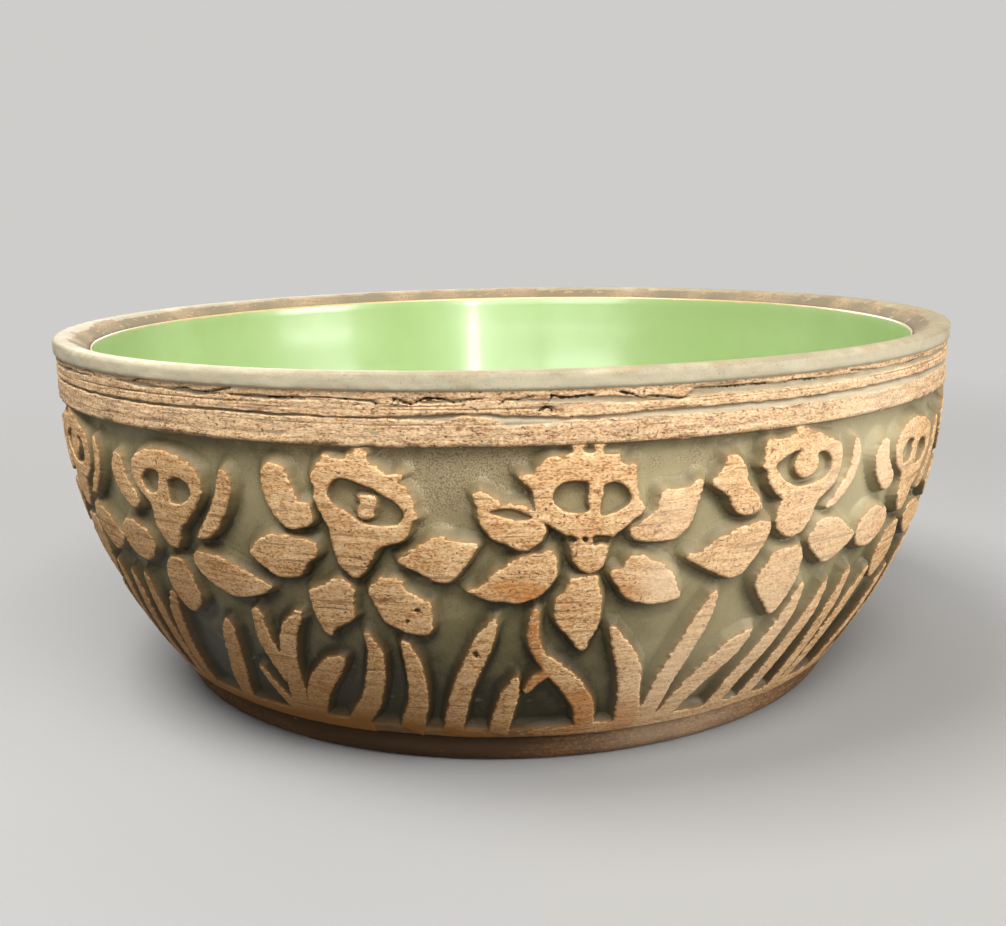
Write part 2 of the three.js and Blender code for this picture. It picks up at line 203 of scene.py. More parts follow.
DAFFODILS = [
    {
        "trumpet": [
            (-6.4, 56), (-6, 57.5), (-5.4, 58.5), (-4.5, 59.3), (-3.7, 59.9), (-0.7, 59.6), (0.1, 60.2),
            (1.5, 60.8), (3.3, 60.6), (3.2, 59.4), (5.5, 57.8), (6.6, 57.2), (8.3, 57.6), (8.9, 57.2),
            (8.4, 56.2), (9.2, 55), (10.1, 53.3), (10.3, 51.5), (10.7, 50.2), (9.9, 49.6), (9.3, 48),
            (8.1, 46.6), (5.8, 45.9), (4.1, 45.2), (2.8, 43.4), (1.8, 42), (0.7, 40.5), (-0.7, 39.8),
            (-2.2, 40.8), (-3.2, 42.3), (-3.7, 44.5), (-3.9, 47.5), (-4.5, 49.3), (-5.3, 50.9),
            (-6.1, 52.8), (-5.9, 54.5),
        ],
        "mouths": [
            [(-3.7, 54.4), (-2.9, 55.8), (-1.4, 56.5), (0.1, 56.2), (1.8, 55.6), (3.8, 55), (4.8, 54.3),
             (6.3, 53.5), (7.8, 52.4), (8.5, 51.2), (8.4, 50), (7.3, 49.2), (5.3, 48.9), (3.3, 49),
             (1.3, 49.5), (-0.7, 51), (-2.2, 51.6), (-3.5, 52.8)],
        ],
        "horns": [
            [(1.6, 53.9), (4.1, 53.7), (4.2, 52.4), (3.5, 51), (3.1, 50.2), (1.5, 50.4), (1.3, 51.5),
             (1.8, 52.5)],
        ],
        "petals": [
            [(-15.5, 55.5), (-15.1, 57.3), (-14, 58.3), (-12.3, 58.2), (-11, 57.2), (-10.2, 55.5),
             (-9.6, 54), (-9, 52.4), (-7.3, 52), (-6.9, 50.8), (-6.7, 49.4), (-7.2, 48.6), (-8.7, 48),
             (-11.2, 47.6), (-13, 48.8), (-14.3, 50.8), (-15.1, 52.8)],
            [(-19.9, 42.6), (-19.3, 43.6), (-18.2, 44.6), (-16.3, 45.8), (-14.7, 46.4), (-11.7, 46.2),
             (-8.7, 45.8), (-6.9, 45.2), (-6.7, 43.8), (-7.5, 42.8), (-8.9, 41.8), (-9.7, 40.6),
             (-10.7, 39.4), (-12.7, 38.9), (-15.2, 38.8), (-17.2, 40), (-18.9, 41.3)],
            [(-6.2, 38.3), (-4.7, 39.3), (-3.2, 39.5), (-1.9, 38.6), (-1.3, 37.4), (-1.6, 36), (-2, 34),
             (-2.1, 32.4), (-3.7, 31.2), (-5.7, 30.2), (-6.9, 29.2), (-7.5, 28.2), (-8.5, 28.8),
             (-9.2, 30.5), (-9.6, 33), (-9.7, 36), (-8.9, 37.2)],
            [(3.6, 40), (5.8, 40.2), (7.3, 39.5), (7.8, 38.2), (9.3, 37), (10.5, 36.2), (11.7, 35.8),
             (11.7, 33), (11.5, 31), (10.8, 29.8), (9.3, 29.6), (6.8, 30), (4.8, 31), (3.3, 32),
             (2.5, 34), (1.7, 36), (1.4, 37.4), (2.3, 38.8)],
            [(6.9, 43.2), (7.7, 44.2), (9.3, 45), (10.8, 46), (12.3, 47), (14.1, 47.5), (15.8, 46.8),
             (18.3, 46.4), (20, 45.9), (19.3, 44.7), (18.3, 43), (17.3, 41.8), (16.3, 40.4),
             (14.8, 39.5), (12.8, 39.7), (11.3, 40.6), (9.3, 41.6), (7.7, 42.4)],
        ],
        "slits": [
            [(8.5, 34.1), (9.2, 34.9), (10.1, 34.5), (9.4, 33.8)],
            [(6.8, 32), (7.4, 32.7), (7.9, 32.2), (7.3, 31.7)],
            [(7.6, 43.9), (8.4, 44.5), (9.3, 44.6), (8.5, 43.9)],
        ],
    },
    {
        "trumpet": [
            (-7.7, 58.5), (-5.7, 59.9), (-2.8, 60), (-2.3, 61.4), (-1.5, 62), (-0.9, 61.2), (-0.6, 60.1),
            (0.7, 60.1), (1.1, 61.2), (1.5, 62), (2.1, 61.4), (2.3, 60), (4.8, 59.9), (5.1, 58.4),
            (7.5, 58.2), (7.5, 56), (8, 53), (9, 50.8), (7.5, 49.3), (5.5, 47.8), (3.8, 46.3), (3.2, 44),
            (2.8, 42), (1.8, 41), (0.3, 40.6), (-1.2, 41.4), (-2.4, 43.3), (-2.8, 45.4), (-3.1, 46.9),
            (-6, 49), (-8, 50.3), (-8.4, 52), (-8.7, 54.5), (-10.1, 55.9), (-10.8, 57.2), (-8.5, 57.2),
        ],
        "mouths": [
            [(-5.7, 53.2), (-4.9, 55.1), (-3.2, 56), (-0.5, 55.8), (0.1, 54.4), (-0.1, 52.8),
             (0.1, 51), (-2.5, 50.9), (-4.3, 51.5)],
            [(2.4, 55), (4, 55.6), (5.7, 54.8), (6.7, 53.3), (6.6, 51.9), (5, 50.9), (3.5, 50.4),
             (2, 50.3), (1.9, 52.5), (2.3, 53.7)],
            [(0.8, 46.7), (2.2, 46.9), (3.9, 46.5), (3.4, 45.3), (2.2, 45.6), (1, 45.2)],
            [(-0.9, 46.7), (-0.2, 46.8), (0.1, 46.1), (-0.5, 45.8)],
            [(-3.3, 47.3), (-2.2, 47), (-1.6, 46.3), (-2.4, 45.9), (-3.3, 46)],
        ],
        "horns": [],
        "petals": [
            [(-17.8, 53.8), (-17.2, 54.7), (-16.4, 54.9), (-15, 54), (-13.9, 53.5), (-13.5, 52.7),
             (-12, 52.7), (-10, 52.5), (-8.6, 51.6), (-7.7, 50.6), (-7, 49.3), (-6.7, 47.8),
             (-7.4, 46.3), (-9, 45.2), (-10.4, 45), (-12, 45.4), (-13, 46.1), (-14.8, 46.8),
             (-16, 48.2), (-17, 50), (-17.2, 51.8)],
            [(-19.6, 38.1), (-17.4, 38.6), (-16, 40), (-14.5, 41.5), (-13, 42.2), (-12, 43.1),
             (-10.5, 44), (-8, 44.2), (-6, 44.8), (-5, 43.5), (-4.8, 42), (-4.9, 40.2), (-6, 38.5),
             (-7.5, 37), (-9.5, 36.2), (-11, 35.6), (-13, 36), (-15.5, 36.2), (-17.8, 37.1)],
            [(-2.7, 39.2), (-2.2, 39.8), (1.5, 39.9), (2.3, 38), (2.9, 36), (2.9, 33), (2.6, 30.5),
             (1.5, 28), (1, 26.4), (0.3, 25.9), (-0.7, 26.6), (-2, 28.6), (-3.5, 30.3), (-4.7, 32),
             (-5, 34.5), (-4.6, 36.5), (-3.5, 37.6)],
            [(4, 39.9), (4.3, 40.8), (6, 41.2), (6.8, 42.6), (7.8, 43.2), (9.6, 43), (10.4, 42.4),
             (12.3, 41.6), (14, 40.2), (15.3, 38.8), (16, 37), (16.9, 34.9), (16, 34.3), (14, 34),
             (11.5, 34), (9, 34.6), (7, 35.6), (5.5, 37.6)],
            [(7, 47.8), (7.2, 46.2), (8.5, 45.6), (11, 45.2), (14.5, 45.2), (16.5, 46.8),
             (17.5, 48.5), (18, 50.5), (18.6, 52.6), (18.8, 54.5), (18, 54.9), (16.8, 54),
             (14.5, 53.4), (12.4, 53.7), (11.6, 53), (11.4, 51.5), (10.8, 50.2), (9.6, 49.6),
             (8.5, 48.6)],
        ],
        "slits": [
            [(-15.4, 51.6), (-13.6, 52.1), (-12, 52), (-10.5, 51.6), (-8.6, 50.5), (-9.6, 49.9), (-12, 49.9),
             (-13.6, 50.5), (-15, 51)],
            [(-19.3, 26.3), (-18.4, 26.5), (-17.9, 25.6), (-18.6, 25)],
        ],
    },
    {
        "trumpet": [
            (-7.1, 57.2), (-7, 59.2), (-6, 60.2), (-4.3, 59.7), (-2.3, 60), (-0.9, 60.5), (-0.1, 61.3),
            (0.9, 60.9), (2.2, 60.4), (4.3, 60), (5.7, 59.3), (7.7, 58.6), (9.2, 58), (10.3, 56.6),
            (10.5, 54.8), (10.2, 52.8), (9.5, 51.2), (8.1, 49.9), (6.5, 49), (5.3, 47.8), (4.7, 46),
            (4, 44.4), (2.9, 43.2), (0.9, 42.5), (-0.8, 42.8), (-2.3, 43.7), (-3.3, 45.2), (-3.7, 46.8),
            (-3.3, 48.6), (-2.9, 49.6), (-4.8, 51.2), (-6, 52.8), (-6.5, 54.6), (-7.5, 55.6),
        ],
        "mouths": [
            [(-4.7, 55.6), (-3.3, 56.5), (-1.3, 57.3), (0.6, 57.5), (-0.5, 56.2), (-0.9, 54.8),
             (-0.1, 53.6), (1.2, 52.8), (2.7, 52.8), (4.1, 53.6), (4.7, 55), (4.5, 56.4), (5.9, 56.6),
             (7.2, 55.8), (7.9, 54.4), (7.5, 52.9), (5.7, 51.9), (3.2, 51.5), (0.2, 51.5),
             (-1.8, 52.3), (-3.3, 53.4), (-4.1, 54.4)],
        ],
        "horns": [],
        "petals": [
            [(-16.8, 53.9), (-15.8, 55.3), (-14.8, 56.4), (-14.3, 57.8), (-13.5, 58.2), (-12.3, 57.8),
             (-11.1, 56.6), (-10.5, 55.4), (-10.1, 53.6), (-8.8, 51.8), (-7.7, 50.8), (-6.9, 49),
             (-7.8, 48.2), (-9.8, 47.9), (-11.4, 48.4), (-12.9, 49.8), (-13.8, 51.6), (-15.8, 53)],
            [(-20.3, 41.8), (-19.3, 42.4), (-17.3, 42.8), (-15.7, 43.8), (-13.8, 45), (-11.3, 45.6),
             (-9.3, 45.9), (-7.8, 46.4), (-6.3, 46.5), (-4.8, 46.2), (-4.5, 44.8), (-4.9, 43),
             (-5.7, 41.4), (-6.9, 39.6), (-8.3, 38), (-10, 37), (-11.9, 37.2), (-13.8, 38),
             (-16.3, 39.2), (-18.3, 40.4)],
            [(-3.5, 38.8), (-2.9, 40), (-1.6, 40.6), (0.7, 40.5), (3.2, 40.5), (4.3, 38.9), (4.7, 37),
             (4.7, 34.5), (4, 32), (2.9, 30), (1.7, 28.2), (0.7, 27.8), (-0.3, 28.6), (-1.8, 30.2),
             (-3.7, 32.2), (-4.9, 34), (-5.3, 35.8), (-4.5, 37.4)],
            [(4.9, 41.2), (5.7, 43), (7.1, 44.4), (9.7, 44.6), (12.1, 44), (14.2, 42.8), (16.2, 41.4),
             (18, 40.2), (18.3, 39.6), (16.7, 38), (14.7, 37), (12.2, 36), (10.2, 36.2), (8.2, 37.6),
             (6.7, 39)],
            [(13.9, 57.9), (14.9, 57.4), (15.7, 55.6), (15.5, 53.4), (14.5, 51), (12.9, 49),
             (11.1, 47.4), (9.5, 46.5), (7.9, 46.7), (9.3, 48.2), (10.7, 49.9), (12.2, 51.6),
             (13.1, 53.4), (13.4, 55.6)],
        ],
        "slits": [],
    },
    {
        "trumpet": [
            (-8.6, 55.6), (-6, 57.4), (-1.2, 58.4), (4.2, 57.6), (8.2, 55.8), (8.9, 53.4), (8.2, 50.8),
            (5, 47.2), (2.2, 44.8), (1, 42.4), (-0.6, 40.8), (-3, 41.4), (-4.8, 44.4), (-5, 48.2),
            (-8, 50.6), (-9.2, 53),
        ],
        "mouths": [
            [(-6.3, 52.6), (-5, 54.2), (-3, 54.8), (-1.2, 54.2), (-1.6, 52.2), (-2.6, 50.8), (-5.2, 50.6)],
            [(1.2, 53.4), (3.6, 54), (5.8, 53.2), (6.4, 51.4), (4.4, 49.8), (1, 49.2), (0.8, 51.4)],
        ],
        "horns": [],
        "petals": [
            [(-15, 56), (-13.6, 56.6), (-12.4, 55.6), (-11.6, 52.6), (-9.4, 50), (-8.7, 48.4),
             (-9.6, 47), (-12, 46.8), (-14.4, 48.6), (-16, 51), (-16.5, 53.6)],
            [(-18.4, 40.2), (-17.4, 42.6), (-14.6, 44), (-10.8, 43.6), (-8.2, 42.2), (-7.6, 40),
             (-9, 37.8), (-12, 36.4), (-15, 36.6), (-17.4, 37.8)],
            [(-2.8, 38.6), (-0.4, 38.8), (0.9, 36.8), (1.5, 34), (1.4, 31), (-0.6, 29.2), (-3.2, 27.8),
             (-5.4, 29), (-6.6, 31.6), (-6.6, 34.6), (-5, 37.4)],
            [(3.2, 39), (5.2, 41.2), (8.8, 41), (13.2, 39.6), (17.2, 38), (20.2, 36.6), (17.6, 34.9),
             (11.6, 33.5), (7.4, 34.8), (4.4, 36.8)],
            [(14.2, 56.6), (15.4, 54.6), (15, 51.6), (13, 48), (10.6, 45.4), (7.8, 43.8), (6, 43.8),
             (7.6, 45.8), (10.2, 49), (12, 52), (13, 55)],
        ],
        "slits": [],
    },
]
print("petals:", [len(design["petals"]) for design in DAFFODILS])

# %% [markdown]
# Below each flower grows a clump of leaves. A blade is long and narrow, so instead of an outline it is
# given by its middle line, as (across, up, width) from tip to base.

# %% The four clumps of leaves
LEAF_CLUMPS = [
    [
        [(-31, 27.3, 2.0), (-32, 25, 3.2), (-33.2, 22, 3.8), (-35.2, 17, 4), (-38.2, 12.5, 4),
         (-40.9, 7, 3.8)],
        [(-28, 18, 1.2), (-26.5, 13, 2.4), (-24.2, 7, 3)],
        [(-22.3, 31, 2.0), (-23, 25, 3.4), (-21.6, 16, 3)],
        [(-13, 31.8, 1.4), (-16.2, 28.5, 3), (-19.2, 21.5, 3.6), (-21, 14, 3.8), (-23.7, 7, 4.2)],
        [(-6.9, 23.2, 1.6), (-9.2, 21.6, 3.8), (-14.2, 16.5, 4.4), (-17.5, 11.5, 4.2), (-19.7, 7, 4.4)],
        [(-0.6, 29, 1.2), (0.5, 25.5, 2.8), (-0.9, 20, 3.6), (-3.5, 14, 3.8), (-9.9, 7, 3.8)],
    ],
    [
        [(-31.2, 27.5, 1.4), (-30.2, 24, 3), (-30.2, 18.5, 3.4), (-31, 14, 3.8), (-34.3, 7, 5)],
        [(-15.2, 32.2, 1.6), (-17.2, 28, 3.4), (-21.8, 18, 3.6), (-25.2, 7, 4)],
        [(-11.4, 20.4, 1), (-12.6, 17, 3.4), (-13.8, 13, 3.8), (-15.4, 7, 4)],
    ],
    [
        [(-46.8, 17.6, 1.2), (-45.4, 20, 1.8), (-42, 22.4, 1.8)],
        [(-45.5, 34, 1.2), (-45.9, 29, 2), (-44.9, 25.8, 2), (-41.9, 22.3, 3.4), (-38.1, 18.2, 4.2),
         (-35.1, 13.5, 4.2), (-34, 7, 4.2)],
        [(-32, 30, 1.2), (-29.9, 26, 3.2), (-27.3, 21, 4.6), (-26.1, 15, 4.6), (-24.4, 7, 6)],
        [(-13.5, 34, 1.6), (-15.1, 29, 3.8), (-19.1, 18, 4.2), (-20.8, 7, 4.4)],
        [(-3.1, 24.6, 2.2), (-5.4, 22.4, 4.8), (-10.7, 16.8, 4.8), (-14.1, 12.2, 4.4), (-16.4, 7, 4.6)],
    ],
    [
        [(-30.4, 32, 1.6), (-31.2, 27, 3.6), (-34.4, 20.5, 4.2), (-38, 15, 4.2), (-40.8, 7, 4.2)],
        [(-23.2, 31.5, 1.6), (-24, 26, 3.6), (-27, 19.5, 4), (-31.8, 7, 4.2)],
        [(-16.4, 32.5, 1.6), (-16.8, 27, 3.4), (-20.1, 14, 3.6), (-21.8, 7, 3.4)],
        [(-7.6, 30.5, 1.6), (-10.6, 26, 3.4), (-14.4, 17, 3.6), (-17.9, 7, 3.6)],
    ],
]
print("blades:", [len(clump) for clump in LEAF_CLUMPS])

# %% [markdown]
# ## From outlines to heights
# A sculptor would build each petal up as a rounded lump. Here the same lump is a height that depends on
# how far inside or outside its outline a point lies: it climbs steeply at the lower edge, more gently at
# the upper one, and goes on rising past the height where the blade will cut. All lumps are worked out on
# one fine sheet that covers a quarter of the bowl, and blended where they meet, as soft clay would be.

# %% The sheet
SHEET_COLUMNS = 597
SHEET_TURN = math.pi / 2 / SHEET_COLUMNS
COLUMNS_PER_FLOWER = SHEET_COLUMNS / 4
COLUMNS_PER_MM = COLUMNS_PER_FLOWER / FLOWER_PITCH
FIRST_COLUMN = FIRST_FLOWER / SHEET_TURN
ROW = 0.25
SHEET_FOOT = 5.0
SHEET_ROWS = 227
sheet_heights = SHEET_FOOT + ROW * np.arange(SHEET_ROWS)
print("sheet:", SHEET_COLUMNS, "columns by", SHEET_ROWS, "rows")

# %% [markdown]
# A smooth closed curve is drawn through an outline's few points. A blade gets its outline from its middle
# line, which is smoothed and then widened to both sides.

# %% Smooth outlines


def closed_line(points, pieces=4):
    """A smooth closed line through the points."""
    p = np.array(points, float)
    before, after, beyond = np.roll(p, 1, 0), np.roll(p, -1, 0), np.roll(p, -2, 0)
    line = []
    for t in np.arange(pieces) / pieces:
        line.append(0.5 * (2 * p + (after - before) * t
                           + (2 * before - 5 * p + 4 * after - beyond) * t ** 2
                           + (3 * p - before - 3 * after + beyond) * t ** 3))
    return np.stack(line, 1).reshape(-1, 2)


def leaf_line(path):
    """The outline of a blade from its middle line, given as (across, up, width) from tip to base."""
    middle = np.array(path, float)
    reach = np.linspace(0, len(middle) - 1, 4 * (len(middle) - 1) + 1)
    steps = np.arange(len(middle))
    x, z, width = (np.interp(reach, steps, column) for column in middle.T)
    for column in (x, z):
        column[1:-1] = (column[:-2] + 2 * column[1:-1] + column[2:]) / 4
    run = np.stack([np.gradient(x), np.gradient(z)], -1)
    run /= np.linalg.norm(run, axis=1)[:, None]
    side = np.stack([-run[:, 1], run[:, 0]], -1) * width[:, None] / 2
    centre = np.stack([x, z], -1)
    tip = centre[:1] - run[:1] * width[0] * 0.5
    return np.concatenate([tip, centre + side, (centre - side)[::-1]])


print("points on a trumpet's outline:", len(closed_line(DAFFODILS[0]["trumpet"])))

# %% [markdown]
# The distance to an outline is the distance to its nearest straight step. A point is inside if a level
# line from it to the right crosses the outline an odd number of times.

# %% Distance to an outline
TINY = 1e-9


def gap_to_steps(x, y, start, end):
    """Distance from each point to the nearest of the straight steps that run from start to end."""
    (x0, y0), (run_x, run_y) = start.T, (end - start).T
    squared = np.maximum(run_x ** 2 + run_y ** 2, TINY)
    share = np.clip(((x - x0) * run_x + (y - y0) * run_y) / squared, 0, 1)
    return np.hypot(x - x0 - share * run_x, y - y0 - share * run_y).min(1)


def depth_inside(across, up, line):
    """Distance in mm to a closed line, positive inside it."""
    x, y = np.ravel(across)[:, None], np.ravel(up)[:, None]
    start, end = line, np.roll(line, -1, 0)
    gap = gap_to_steps(x, y, start, end)
    (x0, y0), (run_x, run_y) = start.T, (end - start).T
    crosses = (y0 > y) != (end[:, 1] > y)
    left_of = x < x0 + run_x * (y - y0) / np.where(run_y == 0, TINY, run_y)
    inside = (crosses & left_of).sum(1) % 2 == 1
    return np.where(inside, gap, -gap).reshape(np.shape(across))


trumpet_middle = depth_inside(0.0, 48.0, closed_line(DAFFODILS[0]["trumpet"]))
print("a trumpet's middle lies", trumpet_middle.round(2), "mm inside its outline")

# %% [markdown]
# Where the blade will cut, the edge of a lump is torn into small level teeth, as gritty clay tears. Mouths
# and slits are pressed in with steep walls and a flat bottom, and a horn rises again inside its mouth.

# %% Shape of a lump
LUMP_HEIGHT = 3.9
LOWER_FLANK = 2.1
UPPER_FLANK = 4.6
CUT_SHARE = 0.49
MOUTH_FLOOR = 0.9
MOUTH_WALL = 1.3
MOUTH_SHARE = 0.585
REACH = 3.9
TORN = 0.26
SLIT_FLOOR = 1.4
TORN_FROM = 0.9
TORN_FULLY = 2.0
HORN_SLOPE = 0.4
BLEND = 0.12


def window(points, flower):
    """Columns and rows of the sheet near the points, and where they lie in the flower's drawing."""
    line = np.asarray(points)
    low, high = line.min(0) - REACH, line.max(0) + REACH
    middle = FIRST_COLUMN + flower * COLUMNS_PER_FLOWER
    left, right = middle + low[0] * COLUMNS_PER_MM, middle + high[0] * COLUMNS_PER_MM
    columns = np.arange(math.floor(left), math.ceil(right) + 1)
    rows = np.arange(max(0, math.floor((low[1] - SHEET_FOOT) / ROW)),
                     min(SHEET_ROWS - 1, math.ceil((high[1] - SHEET_FOOT) / ROW)) + 1)
    across = (columns - middle) / COLUMNS_PER_MM
    return columns, rows, *np.meshgrid(across, sheet_heights[rows], indexing="ij")


def tear(columns, rows):
    """Level teeth, from -1 to 1, that the blade tore along every edge of the clay."""
    turn, z = np.meshgrid(columns * SHEET_TURN, sheet_heights[rows], indexing="ij")
    return 0.7 * grain(turn, z, 2.4, 0.42, 11) + 0.5 * grain(turn, z, 0.9, 0.5, 12)


def lump(depth, teeth):
    """Moulded height from the distance inside an outline."""
    fall = -np.gradient(depth, axis=1) / ROW
    flank = LOWER_FLANK + (UPPER_FLANK - LOWER_FLANK) * smoothstep(0.5 + 0.6 * fall)
    plain = LUMP_HEIGHT * (1 - smoothstep(CUT_SHARE - depth / flank))
    near_cut = smoothstep((plain - TORN_FROM) / (TORN_FULLY - TORN_FROM))
    depth = depth + TORN * teeth * near_cut * (0.75 + 0.5 * np.clip(fall, 0, 1))
    return LUMP_HEIGHT * (1 - smoothstep(CUT_SHARE - depth / flank))


def pressed_in(depth, teeth, bottom):
    """Height of a mouth with steep walls and a flat bottom, from the distance inside its outline."""
    wall = 1 - smoothstep(MOUTH_SHARE + (depth + 0.5 * TORN * teeth) / MOUTH_WALL)
    return bottom + (LUMP_HEIGHT - bottom) * wall


slope_down = np.linspace(4, -4, 33)[None, :]
print("height from 4 mm inside an edge to 4 mm outside:", lump(slope_down, 0.0)[0, ::8].round(1))

# %% [markdown]
# Petals, trumpets and leaves each get a layer of the sheet for each of the four flowers, and every outline
# is raised on its layer. Only the part of the sheet near an outline is worked on, which saves time.

# %% Raise every outline


def add_lumps(layer, flower, outlines, cuts=(), bottom=0.0, rises=()):
    """Raise each outline on the layer, with cuts pressed in and gentle rises put back inside them."""
    for outline in outlines:
        columns, rows, across, up = window(outline, flower)
        teeth = tear(columns, rows)
        height = lump(depth_inside(across, up, outline), teeth)
        for cut in cuts:
            depth = depth_inside(across, up, cut)
            for rise in rises:
                depth = np.minimum(depth, -HORN_SLOPE * depth_inside(across, up, rise))
            height = np.minimum(height, pressed_in(depth, teeth, bottom))
        spot = np.ix_(columns % SHEET_COLUMNS, rows)
        layer[spot] = np.maximum(layer[spot], height)


forms = {}
for k, design in enumerate(DAFFODILS):
    for kind in ("petals", "trumpet", "leaves"):
        forms[kind, k] = np.zeros((SHEET_COLUMNS, SHEET_ROWS))
    petals = [closed_line(p) for p in design["petals"]]
    slits = [closed_line(p) for p in design["slits"]]
    mouths = [closed_line(p) for p in design["mouths"]]
    horns = [closed_line(p) for p in design["horns"]]
    add_lumps(forms["petals", k], k, petals, slits, SLIT_FLOOR)
    add_lumps(forms["trumpet", k], k, [closed_line(design["trumpet"])], mouths, MOUTH_FLOOR, horns)
    add_lumps(forms["leaves", k], k, [leaf_line(p) for p in LEAF_CLUMPS[k]], slits, SLIT_FLOOR)
print("tallest lump:", max(layer.max() for layer in forms.values()).round(2), "mm")

# %% [markdown]
# The low ridge that closes the frieze at the foot runs all the way round. It is patchy, and worn down on
# one stretch. Each clump of leaves takes the length of it that lies below, so the ridge is shared out by
# the clump's two side lines.

# %% The border ridge
RIDGE_MIDDLE = 7.1
RIDGE_HALF = 1.45
RIDGE_RISE = 2.55
RIDGE_UPPER_REACH = 2.9
CLUMP_LEFT = -43.2
WORN_FROM = -30.0
WORN_LENGTH = 42.0
WORN_BY = 0.5

off_middle = sheet_heights - RIDGE_MIDDLE
reach = np.where(off_middle > 0, RIDGE_UPPER_REACH, RIDGE_HALF * 1.2)
ridge = RIDGE_RISE * (1 - smoothstep((np.abs(off_middle) - RIDGE_HALF * 0.45) / reach))
turns, heights = np.meshgrid(np.arange(SHEET_COLUMNS) * SHEET_TURN, sheet_heights, indexing="ij")
patchy = 0.28 * grain(turns, heights, 9, 1.4, 21) + 0.12 * grain(turns, heights, 2.4, 0.7, 22) - 0.08
into_worn = (turns * RIM_RADIUS - WORN_FROM) % (AROUND / 4) / WORN_LENGTH
patchy -= WORN_BY * np.exp(-into_worn ** 8)
ridge = ridge[None, :] + patchy * smoothstep(ridge[None, :] / 2)
for k in range(4):
    first = FIRST_COLUMN + k * COLUMNS_PER_FLOWER + CLUMP_LEFT * COLUMNS_PER_MM
    own = np.arange(math.ceil(first), math.ceil(first + COLUMNS_PER_FLOWER)) % SHEET_COLUMNS
    forms["leaves", k][own] = np.maximum(forms["leaves", k][own], ridge[own])
print("ridge rises", ridge.max().round(2), "mm")

# %% [markdown]
# The lumps are blended into one height, and each point of the sheet is given to the form that is highest
# there. The turned blade then takes off whatever stands too high. It chattered a little, so its cut is a
# row of faint level grooves. Under the collar the ground curves up to meet it. Lower edges, where the
# surface climbs, get a brown rim on the clay and a painted shadow on the glaze, so how near each point lies
# to such an edge is worked out too.

# %% One height for the whole frieze
order = list(forms)
stack = np.stack([forms[name] for name in order])
moulded = BLEND * np.log1p(np.expm1(stack / BLEND).sum(0))

COLLAR_FILLET = 1.0
FILLET_RISE = 0.6
GROUND_RISE = 0.75
LOWER_EDGE_SLOPE = 1.3
LOWER_EDGE_BAND = 0.9
ROUNDED = 0.15
under_collar = FILLET_RISE * smoothstep((heights - (COLLAR_FOOT - COLLAR_FILLET)) / COLLAR_FILLET) ** 2


def waves(turn, z):
    """How far the moulded ground stands proud of the packed model's, in mm, always above 0."""
    return GROUND_RISE + 0.09 * grain(turn, z, 9, 7, 31) + 0.05 * grain(turn, z, 3.5, 3, 32)


def blade(turn, z):
    """Height of the turned cut: level grooves and a few torn places."""
    return RELIEF - 0.04 + 0.03 * grain(turn, z, 14, 0.7, 41) + 0.03 * grain(turn, z, 3.2, 0.5, 42)


uncut = moulded + under_collar + waves(turns, heights)
cut = blade(turns, heights)
scraped = uncut - cut
surface = cut - ROUNDED * np.logaddexp(0, -scraped / ROUNDED)
# brown rim and painted shadow along lower edges, where the surface climbs towards a cut top
climb = np.gradient(uncut, axis=1) / ROW
toast = smoothstep(climb / LOWER_EDGE_SLOPE) * smoothstep(1.1 - np.abs(scraped) / LOWER_EDGE_BAND)
print("blade height:", cut.min().round(2), "to", cut.max().round(2))
print("scraped share:", (scraped > 0).mean().round(3))

# %% [markdown]
# Glaze runs off the high places and gathers in the hollows, where it fires darker, and the hollows also get
# painted shade. A hollow is a point that lies well below the average of its surroundings, so the heights are
# blurred and compared. The collar above counts as high ground, so painted shade falls under it. Places under
# a lump get a painted shadow, and steep flanks and slopes that face up get painted shade against the light.

# %% Where the glaze gathers and painted shade falls
IN_HOLLOW = 0.32
SHADOW_UNDER_LUMP = 0.75
SHADE_ON_FLANK = 0.2
SHADE_FACING_UP = 0.25


def blurred(values, reach):
    """The values averaged over a soft disc of that many steps, joined up across the columns."""
    offsets = np.arange(-2 * reach, 2 * reach + 1)
    weights = np.exp(-(offsets / reach) ** 2)
    weights /= weights.sum()
    columns = sum(w * np.roll(values, o, 0) for o, w in zip(offsets, weights))
    padded = np.pad(columns, ((0, 0), (2 * reach, 2 * reach)), mode="edge")
    height = values.shape[1]
    return sum(w * padded[:, 2 * reach + o:2 * reach + o + height] for o, w in zip(offsets, weights))


relief_only = np.minimum(moulded, RELIEF) + np.where(heights > COLLAR_FOOT - 0.4, 1.0, 0)
hollow = np.clip(blurred(relief_only, 6) - relief_only, 0, None)
above = np.roll(relief_only, -7, 1)
shade = np.clip(blurred(above, 4) - relief_only, 0, None) / RELIEF
steep = np.hypot(np.gradient(moulded, axis=0), np.gradient(moulded, axis=1)) / ROW
faces_up = np.clip(-np.gradient(moulded, axis=1) / ROW, 0, 1)
flank = np.clip(steep / 1.2, 0, 1)
# pooled glaze and painted shade: shade in hollows, a shadow under lumps, shade on steep and up-facing slopes
hollow = IN_HOLLOW * hollow / RELIEF + SHADOW_UNDER_LUMP * shade + SHADE_ON_FLANK * flank + SHADE_FACING_UP * faces_up
hollow = np.clip(hollow, 0, 1)
print("hollow", hollow.mean().round(3), "at most", hollow.max().round(2))

# %% [markdown]
# ## Which face belongs to which piece
# Petals, trumpets and leaf clumps are pieces of their own, so each face of the sheet goes to one of
# them, or to none where the ground lies bare. The choice is smoothed a little, so that borders run clean
# and no two faces of a piece touch by a corner only.

# %% Share out the faces
NOTHING = -1
RAISED = 0.035


def at_faces(values):
    """The mean of the four corners of each face of the sheet."""
    both = (values + np.roll(values, -1, -2)) / 2
    return (both[..., :-1] + both[..., 1:]) / 2


def four_faces(values):
    """The values of each face, of the face to its right, of the one above and of the one across."""
    right = np.roll(values, -1, 0)
    return values[:, :-1], right[:, :-1], values[:, 1:], right[:, 1:]


